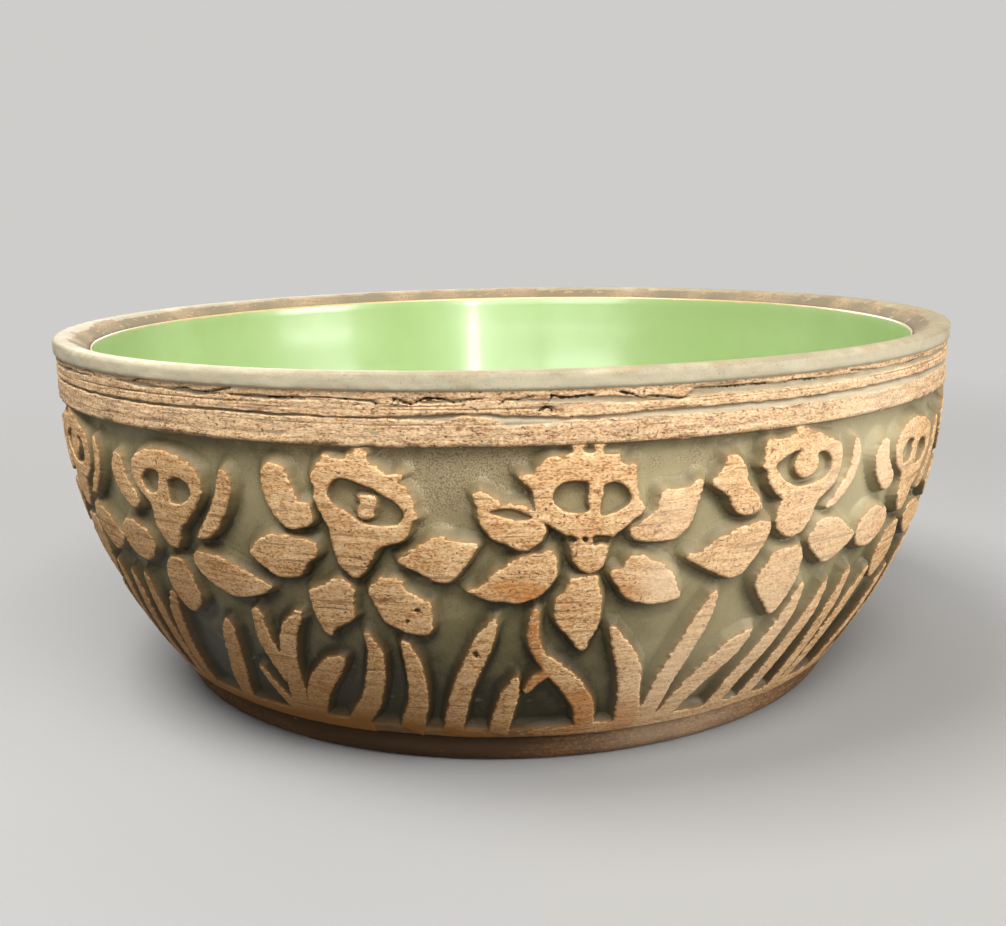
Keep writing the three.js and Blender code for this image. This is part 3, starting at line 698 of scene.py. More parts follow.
face_heights = at_faces(stack)
face_raised = blurred((face_heights.max(0) > RAISED).astype(float), 1) > 0.5
votes = np.stack([blurred(((face_heights.argmax(0) == n) & (face_heights.max(0) > RAISED)).astype(float), 2)
                  for n in range(len(order))])
face_owner = np.where(face_raised & (votes.max(0) > 0), votes.argmax(0), NOTHING)
for _ in range(4):
    here, right, up, across = four_faces(face_owner)
    crossed = (here == across) & (here != right) & (here != up)
    face_owner[:, 1:] = np.where(np.roll(crossed, 1, 0), face_owner[:, :-1], face_owner[:, 1:])
    here, right, up, across = four_faces(face_owner)
    crossed = (right == up) & (right != here) & (right != across)
    face_owner[:, 1:] = np.where(crossed, face_owner[:, :-1], face_owner[:, 1:])
print({f"{kind} {k + 1}": int((face_owner == n).sum()) for n, (kind, k) in enumerate(order)})

# %% [markdown]
# ## Stamping a piece out of the sheet
# Each piece starts as a grid of its own, as many squares as it needs. The grid is laid on the bowl at the
# sheet's heights, the squares that belong to others are deleted, and the open rim is extruded into the
# wall and filled, so that the piece is a closed body.

# %% Stamp one piece
INTO_WALL = 0.9
SHARP_RIM = 70
LEAVES_TO_LEFT = 70


def stamp(name, form):
    """One piece of the frieze, from the faces of the sheet that its form owns."""
    number = order.index(form)
    middle = FIRST_COLUMN + form[1] * COLUMNS_PER_FLOWER
    own_columns, own_rows = np.nonzero(face_owner == number)
    start = math.floor(middle) - SHEET_COLUMNS // 2 - LEAVES_TO_LEFT
    own_columns = (own_columns - start) % SHEET_COLUMNS + start
    left, right = own_columns.min(), own_columns.max() + 1
    low, high = own_rows.min(), own_rows.max() + 1

    clear_selection()
    bpy.ops.mesh.primitive_grid_add(x_subdivisions=right - left, y_subdivisions=high - low, size=2)
    piece = bpy.context.object
    piece.name = piece.data.name = name
    flat = points_of(piece)
    columns = left + np.rint((flat[:, 0] + 1) / 2 * (right - left)).astype(int)
    rows = low + np.rint((flat[:, 1] + 1) / 2 * (high - low)).astype(int)
    spot = columns % SHEET_COLUMNS, rows
    z = sheet_heights[rows]
    place_points(piece, on_bowl(columns * SHEET_TURN, ground_radius(z) + surface[spot], z))
    store(piece, scraped=scraped[spot], hollow=hollow[spot], toast=toast[spot])

    corners = np.empty((right - left) * (high - low) * 4, np.int32)
    piece.data.polygons.foreach_get("vertices", corners)
    corners = corners.reshape(-1, 4)
    face_column, face_row = columns[corners].min(1), rows[corners].min(1)
    others = face_owner[face_column % SHEET_COLUMNS, face_row] != number

    bpy.context.tool_settings.mesh_select_mode = (False, False, True)
    bpy.ops.object.mode_set(mode="EDIT")
    bpy.ops.mesh.select_all(action="DESELECT")
    bpy.ops.object.mode_set(mode="OBJECT")
    piece.data.polygons.foreach_set("select", others)
    bpy.ops.object.mode_set(mode="EDIT")
    bpy.ops.mesh.delete(type="FACE")
    bpy.ops.mesh.select_mode(type="EDGE")
    bpy.ops.mesh.select_all(action="DESELECT")
    bpy.ops.mesh.select_non_manifold(use_wire=False, use_multi_face=False, use_non_contiguous=False,
                                     use_verts=False)
    turn = (left + right) / 2 * SHEET_TURN
    inwards = (-math.sin(turn) * INTO_WALL * MM, math.cos(turn) * INTO_WALL * MM, 0)
    bpy.ops.mesh.extrude_region_move(TRANSFORM_OT_translate={"value": inwards})
    bpy.ops.mesh.fill_holes(sides=0)
    bpy.ops.object.mode_set(mode="OBJECT")
    bpy.ops.object.shade_smooth_by_angle(angle=math.radians(SHARP_RIM))
    return piece


print("a stamped piece reaches", INTO_WALL, "mm into the wall")

# %% [markdown]
# The twelve forms of the first quarter are stamped, and each is copied three times round the bowl. Every
# copy has a mesh of its own, so that it can take its own stains.

# %% All pieces of the frieze
NODE_NAMES = {"petals": "daffodil_petals", "trumpet": "daffodil_trumpet", "leaves": "leaf_clump"}
frieze = {}
for kind, k in order:
    first = stamp(f"{kind}_{k + 1:02d}", (kind, k))
    frieze[kind, k] = first
    for quarter in range(1, 4):
        make_active(first)
        bpy.ops.object.duplicate()
        copy = bpy.context.object
        copy.name = copy.data.name = f"{kind}_{k + 1 + 4 * quarter:02d}"
        copy.rotation_euler.z = quarter * math.pi / 2
        bpy.ops.object.transform_apply(location=False, rotation=True, scale=False)
        frieze[kind, k + 4 * quarter] = copy
print(len(frieze), "pieces,", sum(len(p.data.polygons) for p in frieze.values()), "faces")

# %% [markdown]
# ## The turned bodies
# Wall, collar, foot and lining are round, so each is a half section spun about the bowl's axis, as on the
# wheel. Their points are then moved in or out to give the uneven skin of moulded clay.

# %% Spin a section


def spun(name, section, steps):
    """A closed body from a list of (radius, height) in mm that is spun about the axis."""
    clear_selection()
    bpy.ops.mesh.primitive_circle_add(vertices=len(section), radius=1, fill_type="NOTHING")
    piece = bpy.context.object
    piece.name = piece.data.name = name
    r, z = np.array(section, float).T
    place_points(piece, on_bowl(0.0, r, z))
    bpy.ops.object.mode_set(mode="EDIT")
    bpy.ops.mesh.select_mode(type="VERT")
    bpy.ops.mesh.select_all(action="SELECT")
    bpy.ops.mesh.spin(steps=steps, angle=2 * math.pi, center=(0, 0, 0), axis=(0, 0, 1))
    bpy.ops.mesh.select_all(action="SELECT")
    bpy.ops.mesh.remove_doubles(threshold=0.00001)
    bpy.ops.mesh.delete_loose()
    bpy.ops.mesh.select_all(action="SELECT")
    bpy.ops.mesh.normals_make_consistent(inside=False)
    bpy.ops.object.mode_set(mode="OBJECT")
    return piece


def turned(piece):
    """Angle, radius and height of the piece's points, in radians and mm."""
    x, y, z = points_of(piece).T.astype(float) / MM
    return np.arctan2(x, -y), np.hypot(x, y), z


def shade_by_angle(piece, degrees=40):
    """Smooth faces with sharp edges where they meet at more than the angle."""
    make_active(piece)
    bpy.ops.object.shade_smooth_by_angle(angle=math.radians(degrees))


def sheet_value(values, turn, z):
    """The sheet's value at each angle and height, taken from its nearest point."""
    column = np.rint(turn / SHEET_TURN).astype(int) % SHEET_COLUMNS
    row = np.clip(np.rint((z - SHEET_FOOT) / ROW).astype(int), 0, SHEET_ROWS - 1)
    return values[column, row]


print("a column of the sheet is", round(SHEET_TURN * RIM_RADIUS, 3), "mm wide at the rim")

# %% [markdown]
# Wall and lining share one line for the inside. It leans out all the way up, so that a bright window is
# mirrored in it as one upright streak, and it turns into the floor in one wide round corner.

# %% The line of the inside
FLOOR_TOP = 11.3
FLOOR_CORNER = 14.0
LEAN = 0.9
LEAN_REACH = 9.0


def inside_line(inset, count=14):
    """The bowl's inside from the collar down and in to the middle of the floor, moved in by inset mm."""
    bend = FLOOR_TOP + FLOOR_CORNER
    levels = np.linspace(COLLAR_FOOT, bend, count)
    thicker = LEAN * (1 - np.exp((levels - COLLAR_FOOT) / LEAN_REACH))
    line = list(zip(ground_radius(levels) - WALL - thicker, levels))
    slope = float(ground_radius(bend + 1) - ground_radius(bend))
    start = np.array(line[-1])
    corner = start - (slope * FLOOR_CORNER, FLOOR_CORNER)
    end = corner - (FLOOR_CORNER, 0)
    for t in np.linspace(0, 1, count)[1:]:
        line.append(tuple(start * (1 - t) ** 2 + corner * 2 * t * (1 - t) + end * t ** 2))
    line = np.array(line)
    run = np.gradient(line, axis=0)
    run /= np.linalg.norm(run, axis=1)[:, None]
    line += np.stack([run[:, 1], -run[:, 0]], -1) * inset
    return [tuple(point) for point in line] + [(0.0, FLOOR_TOP + inset)]


print("inside radius under the collar:", round(inside_line(0.0)[0][0], 2), "mm")

# %% [markdown]
# The wall is drawn from the middle of its underside out to the foot, up the ground to the collar, and down
# the inside to the middle of the floor. Under the frieze it swells a little, so that no gap shows there.

# %% The wall with its glazed ground
WALL_COLUMNS = SHEET_COLUMNS * 4 // 3
TUCK = 0.25
BASE_RADIUS = 59.0
BASE_ROUNDING = 0.4
COLLAR_SEAT = 88.0
UNDER_LUMPS = 0.6
HIGHEST_UNDER = 0.5

outer = np.arange(SHEET_FOOT, COLLAR_FOOT + 0.01, 3 * ROW)
outer = outer[outer > FOOT_TOP]
base = (0.0, BASE_RADIUS, float(ground_radius(FOOT_TOP)) - BASE_ROUNDING)
section = [(radius, FOOT_TOP - TUCK) for radius in base]
section += [(float(ground_radius(z)), z) for z in outer]
section += [(radius, COLLAR_FOOT + TUCK) for radius in (float(ground_radius(COLLAR_FOOT)), COLLAR_SEAT)]
section += inside_line(0.0)
wall = spun("glazed_wall", section, WALL_COLUMNS)
turn, radius, z = turned(wall)
outside = (radius > ground_radius(z) - 0.3) & (z > FOOT_TOP) & (z < COLLAR_FOOT + 0.1)
rise = waves(turn, z) + 0.03 + sheet_value(under_collar, turn, z)
rise += UNDER_LUMPS * np.minimum(sheet_value(moulded, turn, z), HIGHEST_UNDER)
moved = np.where(outside, ground_radius(z) + rise, radius)
place_points(wall, on_bowl(turn, moved, z))
store(wall, scraped=np.full(len(z), -RELIEF), hollow=np.where(outside, sheet_value(hollow, turn, z), 0.2))
shade_by_angle(wall)
print("wall:", len(wall.data.polygons), "faces")

# %% [markdown]
# ## The collar
# The collar was turned with a narrow tool: a plain band, a groove, a bead, a crack where the tool caught
# and tore the clay, and the lip. The groove is a thin line on the left and a glazed channel on the
# right. Below the crack, shallow pockets kept their glaze. On the front both follow the real bowl, and
# the crack is repeated, turned about, on the other sides. Groove and pockets are rows of (across, upper
# edge, height) and run once round the bowl, and a crack is a line of (across, up).

# %% Lines on the collar
GROOVE = [
    (-66, 66.3, 0.45), (-45, 66.4, 0.35), (-24, 66.1, 0.3), (-13, 66.2, 0.35), (-9, 66.6, 1.0),
    (-6, 66.7, 0.4), (-2, 66.6, 0.45), (0.5, 66.2, 1.7), (6, 66.1, 1.1), (10, 65.9, 0.5), (17, 66.0, 0.6),
    (24, 66.3, 0.95), (56, 66.2, 1.05), (85, 66.5, 1.15), (130, 66.3, 0.9), (185, 66.3, 0.4),
    (250, 66.2, 0.9), (320, 66.3, 0.35), (400, 66.2, 0.8), (470, 66.3, 0.4),
]
POCKETS = [
    (-74, 69.3, 0.1), (-66, 69.4, 0.8), (-60, 69.1, 0.2), (-52, 68.9, 0.7), (-46, 68.8, 0.1),
    (-38, 68.8, 0.5), (-26, 68.7, 0.1), (-14, 68.4, 0.1), (-9, 68.8, 0.6), (-4, 68.7, 0.1), (2, 68.6, 0.3),
    (8, 68.8, 0.7), (16, 68.9, 1.0), (22, 68.3, 0.6), (28, 68.1, 0.2), (30, 69.2, 1.2), (56, 69.0, 1.1),
    (80, 69.1, 0.9), (120, 68.9, 0.1), (160, 69.0, 0.8), (210, 68.9, 0.1), (270, 69.1, 1.0),
    (330, 68.9, 0.2), (390, 69.0, 0.8), (440, 68.9, 0.1), (490, 69.0, 0.6),
]
CRACKS = [
    [(-68, 69.4), (-65.8, 70), (-63.5, 70)],
    [(-56.4, 69.1), (-53.8, 69.3), (-52, 68.9), (-49.6, 68.9), (-46.4, 69.4), (-44.4, 69.9)],
    [(-44.6, 68.8), (-35, 68.8), (-28, 69), (-20, 68.6), (-19.2, 68.1)],
    [(-16.8, 68.2), (-16.4, 69), (-13.8, 68.1), (-11.6, 69.1), (-8.8, 68.9), (-7.2, 68.3),
     (-5.2, 68.8), (-3, 68.9)],
    [(-0.4, 68), (0.4, 68.8), (2.2, 68.6), (4.6, 69.1)],
    [(5.4, 66.9), (6.4, 67.5), (7.2, 67.4), (7.5, 66.5)],
    [(7, 68.4), (7.4, 69.3), (8.6, 68.8), (13.6, 69)],
    [(17.8, 69.3), (19.8, 68.9), (21.8, 68), (22.4, 68.5), (27.4, 67.8), (29, 68), (29.8, 69.2), (43, 69)],
    [(46, 68.6), (48, 69.1), (55.2, 68.9)],
    [(61.8, 69.4), (68.8, 68.9)],
]
print(len(CRACKS), "cracks on each side")

# %% [markdown]
# Three small helpers turn those rows into numbers for each point: the band's edge and height there, the
# distance to the nearest crack, and how deep in a notch with soft edges the point lies.

# %% Measure the lines
CRACKED_FROM = 65.0
CRACKED_TO = 71.0
FAR = 3.0


def along(turn, rows):
    """Upper edge and height of a band, in mm, from rows of (across, upper edge, height)."""
    place, top, tall = np.array(rows, float).T
    across = turn * RIM_RADIUS
    return (np.interp(across, place, top, period=AROUND), np.interp(across, place, tall, period=AROUND))


def crack_distance(turn, z):
    """Distance in mm to the nearest crack, at most FAR."""
    across = turn * RIM_RADIUS
    nearest = np.full(len(z), FAR)
    for side in range(4):
        facing = 1 - 2 * (side % 2)
        shifted = facing * ((across - side * AROUND / 4 + AROUND / 2) % AROUND - AROUND / 2)
        near = np.flatnonzero((np.abs(shifted) < AROUND / 8) & (z > CRACKED_FROM) & (z < CRACKED_TO))
        for crack in CRACKS:
            corners = np.array(crack, float)
            gap = gap_to_steps(shifted[near, None], z[near, None], corners[:-1], corners[1:])
            nearest[near] = np.minimum(nearest[near], gap)
    return nearest


def notch(distance, half, edge):
    """1 within half of the middle, falling to 0 over the edge."""
    return 1 - smoothstep((np.abs(distance) - half + edge / 2) / edge)


print("a notch, 0 to 0.4 mm from its middle:", notch(np.linspace(0, 0.4, 5), 0.2, 0.2).round(2))

# %% [markdown]
# The collar's section is a straight band with closely set points where lines will be cut, then the lip.
# The lip has a nearly flat upright face, a small round edge, and a longer slope down to the lining.

# %% The collar
COLLAR_COLUMNS = 1300
COLLAR_INSIDE = 88.05
LIP_FOOT = 70.1
LIP = [(94.74, 70.1), (94.93, 70.3), (95.0, 70.6), (95.0, 71.1), (95.0, 71.6), (95.0, 72.1),
       (94.95, 72.45), (94.78, 72.75), (94.4, 72.94), (93.6, 73.0), (92.5, 72.93), (91.5, 72.65),
       (90.6, 72.2), (89.7, 71.65), (88.85, 71.0), (88.05, 70.35)]
LIP_FACE = 93.5
CREST_EDGE = 91.4
CREST_TOP = 93.0
PAINTED_SHADE_FROM = 71.9
WIDEST = 94.98
SCORES = [(67.75, 0.16, 57), (67.3, 0.12, 58), (65, 0.08, 59), (63.3, 0.16, 60), (62.7, 0.14, 61)]
GROOVE_DEPTH = 0.6
POCKET_DEPTH = 0.42
CRACK_DEPTH = 0.6
EDGE_DEPTH = 0.45
SCRAPED_DEPTH = 0.26

band = np.arange(COLLAR_FOOT, 63.95, 0.35)
worked = np.arange(64.0, LIP_FOOT - 0.05, 0.13)
section = [(COLLAR_RADIUS, z) for z in np.concatenate([band, worked])] + LIP
section += [(COLLAR_INSIDE - 0.02, 68.0), (COLLAR_INSIDE - 0.02, COLLAR_FOOT + 2 * TUCK)]
section += [(float(ground_radius(COLLAR_FOOT)) + 0.3, COLLAR_FOOT + 0.1)]
collar = spun("turned_collar", section, COLLAR_COLUMNS)
print("collar section:", len(section), "points")

# %% [markdown]
# The lines of the collar are cut by moving its points in: each line is a notch whose edges are frayed by
# noise, and the deepest one wins. The lip keeps its glaze on its upright face, gets painted shade on its
# top, which faces the light, and is scraped on its inner slope.

# %% Groove, crack and scores
turn, radius, z = turned(collar)
ragged = 0.6 * grain(turn, z, 3.0, 0.6, 51) + 0.5 * grain(turn, z, 1.1, 0.45, 52)
groove_top, groove_tall = along(turn, GROOVE)
below_top = groove_top + 0.1 * grain(turn, z, 2.0, 90, 53) - z
fray = 0.5 * grain(turn, z, 1.3, 0.3, 71) + 0.5 * grain(turn, z, 0.7, 0.26, 72)
groove_half = groove_tall / 2 + 0.12 * ragged + 0.12 * fray
channel = GROOVE_DEPTH * notch(below_top - groove_tall / 2, groove_half, 0.3)
groove = channel * (0.72 + 0.28 * smoothstep(0.5 + 1.4 * grain(turn, z, 3.2, 90, 73)))
groove *= 1 - 0.55 * smoothstep((below_top - 0.35) / 0.4) * smoothstep((groove_tall - 0.6) / 0.3)
pocket_top, pocket_tall = along(turn, POCKETS)
pocket_half = pocket_tall / 2 + 0.14 * ragged + 0.14 * fray
pocket = POCKET_DEPTH * notch(pocket_top - pocket_tall / 2 - z, pocket_half, 0.3)
pocket *= smoothstep((pocket_tall - 0.12) / 0.2)
crack = crack_distance(turn, z)
torn = CRACK_DEPTH * (1 - smoothstep((crack - 0.03 + 0.1 * ragged + 0.1 * fray) / 0.2))
fine = np.zeros_like(z)
for level, deep, seed in SCORES:
    drift = 0.12 * grain(turn, z, 20, 90, seed)
    broken_up = smoothstep(0.3 + 1.6 * grain(turn, z, 12, 90, seed + 30))
    fine += deep * notch(z - level - drift, 0.1, 0.22) * broken_up
skin = 0.035 * grain(turn, z, 14, 0.6, 62) + 0.03 * grain(turn, z, 4, 0.4, 63)
lower_edge = EDGE_DEPTH * notch(z - COLLAR_FOOT + 0.25, 0.45 + 0.4 * ragged, 0.4)
depth = np.maximum(np.maximum(groove, pocket), torn) + fine + lower_edge - skin
on_outside = (radius > COLLAR_RADIUS - 0.1) & (z < LIP_FOOT - 0.02)
on_lip = (radius > LIP_FACE) & (z >= LIP_FOOT - 0.02)
dents = 0.07 * grain(turn, z, 5, 2.4, 64) + 0.05 * grain(turn, z, 1.6, 0.9, 65) - 0.12
moved = np.where(on_outside, np.minimum(radius - depth, WIDEST), np.where(on_lip, radius + dents, radius))
place_points(collar, on_bowl(turn, moved, z))
lip_wear = 0.35 * grain(turn, z, 6, 1.2, 66) + 0.3 * grain(turn, z, 2.0, 0.6, 67)
on_crest = (radius < CREST_EDGE + 0.6 * grain(turn, z, 5, 90, 68)) & (z > LIP_FOOT + 0.1)
# painted shade on the lip's top, which faces the light
on_top = np.where(radius > CREST_TOP, smoothstep((z - PAINTED_SHADE_FROM) / 0.8), 1)
crest_film = on_top * (0.75 + 0.2 * grain(turn, z, 8, 3, 69)) + 0.15 * smoothstep((91.8 - radius) / 2)
# painted shadow under the groove's upper edge
groove_painted_shadow = notch(below_top - 0.1, 0.16, 0.2) * (0.6 + 0.4 * grain(turn, z, 6, 90, 70))
painted = np.maximum(np.maximum(depth, channel), 1.35 * pocket)
on_lip_scraped = np.where(on_crest, 0.34 + 0.7 * lip_wear, -0.6 + 0.8 * lip_wear)
# on the collar the brown edge value is painted shadow under the groove's edge and the collar's lower edge
store(collar,
      scraped=np.where(on_outside, SCRAPED_DEPTH - painted, on_lip_scraped),
      hollow=np.clip(np.where(on_outside, 0.55 * depth, 0), 0, 1),
      crack=np.where(on_outside, crack, FAR),
      toast=np.where(on_outside, np.clip(groove_painted_shadow + 2.2 * lower_edge, 0, 1), 0),
      worn=np.where(z > LIP_FOOT, crest_film, 0))
shade_by_angle(collar, 60)
print("collar:", len(collar.data.polygons), "faces")

# %% [markdown]
# ## The foot and the lining
# The foot ring is a plain roll of brown clay, uneven to the touch, and darker where the wall shades it.

# %% The foot ring
FOOT = [(71.0, 0.0), (71.5, 0.12), (72.1, 0.55), (72.7, 1.3), (73.1, 2.2), (73.3, 3.1), (73.15, 3.95),
        (72.6, 4.6), (71.7, 5.0), (63.0, 5.0), (61.0, 4.6), (60.3, 3.2), (60.3, 0.9), (60.8, 0.2),
        (61.6, 0.0), (66.0, 0.0)]
foot = spun("foot_roll", FOOT, 384)
turn, radius, z = turned(foot)
bumps = 0.09 * grain(turn, z, 6, 3, 71) + 0.05 * grain(turn, z, 2.2, 1.2, 72)
place_points(foot, on_bowl(turn, np.where(z > 0.05, radius + bumps, radius), z))
under_wall = smoothstep((z - 3.6) / 1.4) * (radius > 70)
store(foot, scraped=0.4 + 0.3 * grain(turn, z, 7, 2.4, 73), hollow=under_wall)
shade_by_angle(foot, 50)
print("foot:", len(foot.data.polygons), "faces")

# %% [markdown]
# The lining is a thick coat of glossy glaze. A bowl could simply get a second material on its inside, but
# here the lining is a shell of its own, as in the packed model. It lies on the inside of the wall, flares a
# little in its neck and ends in a rounded edge under the lip.

# %% The lining
LINING = 0.6
LINING_TOP = 70.5
FLARE = 0.6
EDGE = 0.25
OFF_WALL = 0.06
under = inside_line(OFF_WALL, 24)
over = inside_line(LINING, 24)
levels = np.linspace(COLLAR_FOOT, LINING_TOP - EDGE, 6)[1:]
flare = FLARE * (1 - ((levels[-1] - levels) / (levels[-1] - COLLAR_FOOT)) ** 1.2)
neck_outside = list(zip(under[0][0] + flare, levels))
neck_inside = list(zip(over[0][0] + flare, levels - EDGE))
rim = under[0][0] + FLARE
section = under[::-1] + neck_outside + [(rim - 0.2, LINING_TOP), (rim - 0.42, LINING_TOP - 0.1)]
section += neck_inside[::-1] + over
lining = spun("green_lining", section, 288)
shade_by_angle(lining, 60)
print("lining:", len(lining.data.polygons), "faces")

# %% [markdown]
# ## Stains from the kiln, painted shade and painted light
# Iron in the clay bled out as orange-brown patches on some petals and leaves, and gritty brown specks lie
# in the glaze between the flowers. Low on the left, low in the middle and on the foot, painted shade darkens
# clay and glaze, and the right side and the lip on the left get painted light. On the front these are
# placed as on the real bowl. Elsewhere seeded chance places weaker ones. Each row below is across and up in
# mm, half sizes and strength.

# %% Where the stains, painted shade and painted light lie
IRON_SPOTS = [
    (3.0, 37.4, 5.5, 3.0, 1.0), (-1.5, 39.5, 4.0, 2.0, 0.55), (19.5, 37.5, 3.6, 3.4, 0.85),
    (25.0, 36.0, 4.0, 2.2, 0.5), (10.2, 34.0, 2.2, 5.0, 0.65), (15.0, 31.0, 2.0, 5.5, 0.55),
    (13.0, 47.5, 5.5, 3.4, 0.7), (4.6, 28.0, 2.4, 8.0, 1.2), (6.0, 19.0, 3.6, 4.0, 1.1),
    (14.5, 12.5, 4.0, 7.0, 1.3), (24.5, 9.0, 4.0, 5.0, 1.2), (10.5, 13.0, 4.5, 4.0, 0.6),
    (-1.2, 48.6, 2.4, 1.8, 0.8), (-20.0, 12.0, 3.0, 6.0, 0.5), (23.5, 11.0, 4.0, 4.0, 0.5),
    (-44.0, 30.0, 3.0, 4.0, 0.35), (32.0, 41.0, 3.0, 2.0, 0.35),
]
GRIT_SPOTS = [
    (-4.0, 56.5, 15.0, 6.5, 1.0), (-29.0, 59.0, 20.0, 3.5, 0.6), (33.0, 57.5, 11.0, 4.0, 0.75),
    (-12.0, 47.0, 5.0, 9.0, 0.6), (27.5, 43.0, 5.0, 5.0, 0.6), (66.0, 58.0, 9.0, 4.0, 0.6),
]
chance = np.random.default_rng(5)


def far_spot(keep_off, up, half_width, half_height, strength):
    """A spot placed by seeded chance, at least keep_off mm to the right and left of the front's middle."""
    ranges = ((keep_off[0], AROUND - keep_off[1]), up, half_width, half_height, strength)
    return tuple(chance.uniform(low, high) for low, high in ranges)


IRON_SPOTS += [far_spot((75, 75), (10, 55), (2, 4), (2, 5), (0.3, 0.8)) for _ in range(26)]
GRIT_SPOTS += [far_spot((85, 85), (45, 59), (6, 14), (3, 6), (0.4, 0.9)) for _ in range(10)]
# painted shade: darker places low on the left, low in the middle and on the foot
PAINTED_SHADE_SPOTS = [
    (-28.0, 9.0, 26.0, 14.0, 0.6), (-75.0, 16.0, 26.0, 18.0, 0.6), (-10.0, 3.0, 24.0, 4.0, 0.4),
    (-62.0, 46.0, 22.0, 18.0, 0.22), (-28.0, 5.0, 62.0, 4.5, 0.8), (-26.0, 46.0, 9.0, 9.0, 0.2),
    (-50.0, 57.0, 12.0, 5.0, 0.3),
]
# painted light: brighter places on the right side, and on the lip at the left
PAINTED_LIGHT_SPOTS = [
    (26.5, 38.0, 4.0, 4.0, 1.0), (27.0, 50.0, 6.0, 6.0, 0.6), (52.0, 48.0, 20.0, 16.0, 0.2),
    (62.0, 40.0, 14.0, 14.0, 0.25), (30.0, 20.0, 9.0, 14.0, 0.7), (48.0, 24.0, 14.0, 14.0, 0.7),
    (71.0, 54.0, 13.0, 13.0, 1.0), (-62.0, 71.6, 26.0, 1.5, 0.9), (42.0, 3.0, 22.0, 5.0, 0.3),
]
for _ in range(8):
    PAINTED_SHADE_SPOTS.append(far_spot((95, 105), (5, 14), (10, 26), (6, 12), (0.4, 0.7)))
    PAINTED_LIGHT_SPOTS.append(far_spot((105, 105), (20, 60), (8, 20), (8, 18), (0.3, 0.7)))
print(len(IRON_SPOTS), "iron stains,", len(GRIT_SPOTS), "gritty places")
print(len(PAINTED_SHADE_SPOTS), "filmed and", len(PAINTED_LIGHT_SPOTS), "bleached places")

# %% [markdown]
# A stain could be painted on a picture that is wrapped round the bowl. Stored on the points instead, it
# needs no picture, and a finish can blend it with its own fine noise.

# %% Store the stains, painted shade and painted light


def spots(turn, z, places):
    """How strongly the spots colour each point, 0 to 1."""
    total = np.zeros_like(z)
    for across, up, half_width, half_height, strength in places:
        gap = (turn * RIM_RADIUS - across + AROUND / 2) % AROUND - AROUND / 2
        total += strength * np.exp(-(gap / half_width) ** 2 - ((z - up) / half_height) ** 2)
    return np.clip(total, 0, 1)


# stains, painted shade and painted light are stored on every piece's points
for piece in [*frieze.values(), wall, collar, foot]:
    turn, radius, z = turned(piece)
    store(piece, iron=spots(turn, z, IRON_SPOTS), grit=spots(turn, z, GRIT_SPOTS),
          bleached=spots(turn, z, PAINTED_LIGHT_SPOTS))
    if piece != collar:
        store(piece, worn=spots(turn, z, PAINTED_SHADE_SPOTS))
layers = [layer.name for layer in foot.data.attributes if layer.data_type == "FLOAT"]
print("values on the foot's points:", *layers)

# %% [markdown]
# ## Finishes
# Every finish is built from nodes. The helper below adds one node at a time and hands back its output, so
# that a finish reads from top to bottom like a recipe. Patterns are laid out in Object coordinates, which
# here are the bowl's own metres, so a noise scale of 1000 gives grains of a millimetre.

# %% Screen colours


def colour(red, green, blue):
    """A screen colour, 0 to 255, as the linear numbers that shaders work with."""
    parts = [v / 255 for v in (red, green, blue)]
    return (*[v / 12.92 if v < 0.04045 else ((v + 0.055) / 1.055) ** 2.4 for v in parts], 1)


print("clay tan as linear numbers:", [round(v, 3) for v in colour(214, 174, 128)])

# %% [markdown]
# Only a few kinds of node are needed: noise, sums and products, a smooth step between two levels, a blend
# of two colours, and a bump.

# %% A helper for finishes


class Finish:
    """A material that is put together node by node."""

    def __init__(self, name):
        self.material = bpy.data.materials.new(name)
        self.material.use_nodes = True
        self.tree = self.material.node_tree
        self.shader = self.tree.nodes["Principled BSDF"]
        self.place = self.add("TexCoord").outputs["Object"]

    def add(self, kind, inputs=None, **settings):
        """Add a node, set its options, and link or set its inputs."""
        node = self.tree.nodes.new("ShaderNode" + kind)
        for name, value in settings.items():
            setattr(node, name, value)
        for socket, value in (inputs or {}).items():
            self.feed(node.inputs[socket], value)
        return node

    def feed(self, socket, value):
        """Link an output into the socket, or set a plain value on it."""
        if isinstance(value, bpy.types.NodeSocket):
            self.tree.links.new(value, socket)
        else:
            socket.default_value = value

    def stored(self, name):
        """A value that was stored on the mesh."""
        return self.add("Attribute", attribute_name=name).outputs["Fac"]

    def stretch(self, x, y, z):
        """The place on the bowl with each direction scaled."""
        return self.add("Mapping", {"Vector": self.place, "Scale": (x, y, z)}).outputs["Vector"]

    def noise(self, scale, detail=2.0, place=None):
        """Cloudy noise of about 0.3 to 0.7."""
        inputs = {"Vector": place or self.place, "Scale": scale, "Detail": detail}
        return self.add("TexNoise", inputs).outputs["Fac"]

    def sum(self, *parts):
        """Add up outputs, or (output, factor) pairs."""
        total = 0.0
        for part in parts:
            value, factor = part if isinstance(part, tuple) else (part, 1.0)
            node = self.add("Math", {0: value, 1: factor, 2: total}, operation="MULTIPLY_ADD")
            total = node.outputs[0]
        return total

    def times(self, a, b):
        """The product of two outputs."""
        return self.add("Math", {0: a, 1: b}, operation="MULTIPLY").outputs[0]

    def between(self, value, low, high):
        """0 where the value is low, 1 where it is high, and smooth between."""
        inputs = {"Value": value, "From Min": low, "From Max": high}
        return self.add("MapRange", inputs, interpolation_type="SMOOTHSTEP").outputs["Result"]

    def blend(self, share, start, end):
        """A colour that goes from start to end as the share goes from 0 to 1."""
        return self.add("Mix", {0: share, 6: start, 7: end}, data_type="RGBA").outputs[2]

    def bump(self, height, depth_mm, normal=None):
        """A bumped normal, for a height of 0 to 1."""
        inputs = {"Height": height, "Distance": depth_mm * MM, "Strength": 1.0}
        if normal:
            inputs["Normal"] = normal
        return self.add("Bump", inputs).outputs["Normal"]


print("recipe steps:", [step for step in vars(Finish) if not step.startswith("_")])
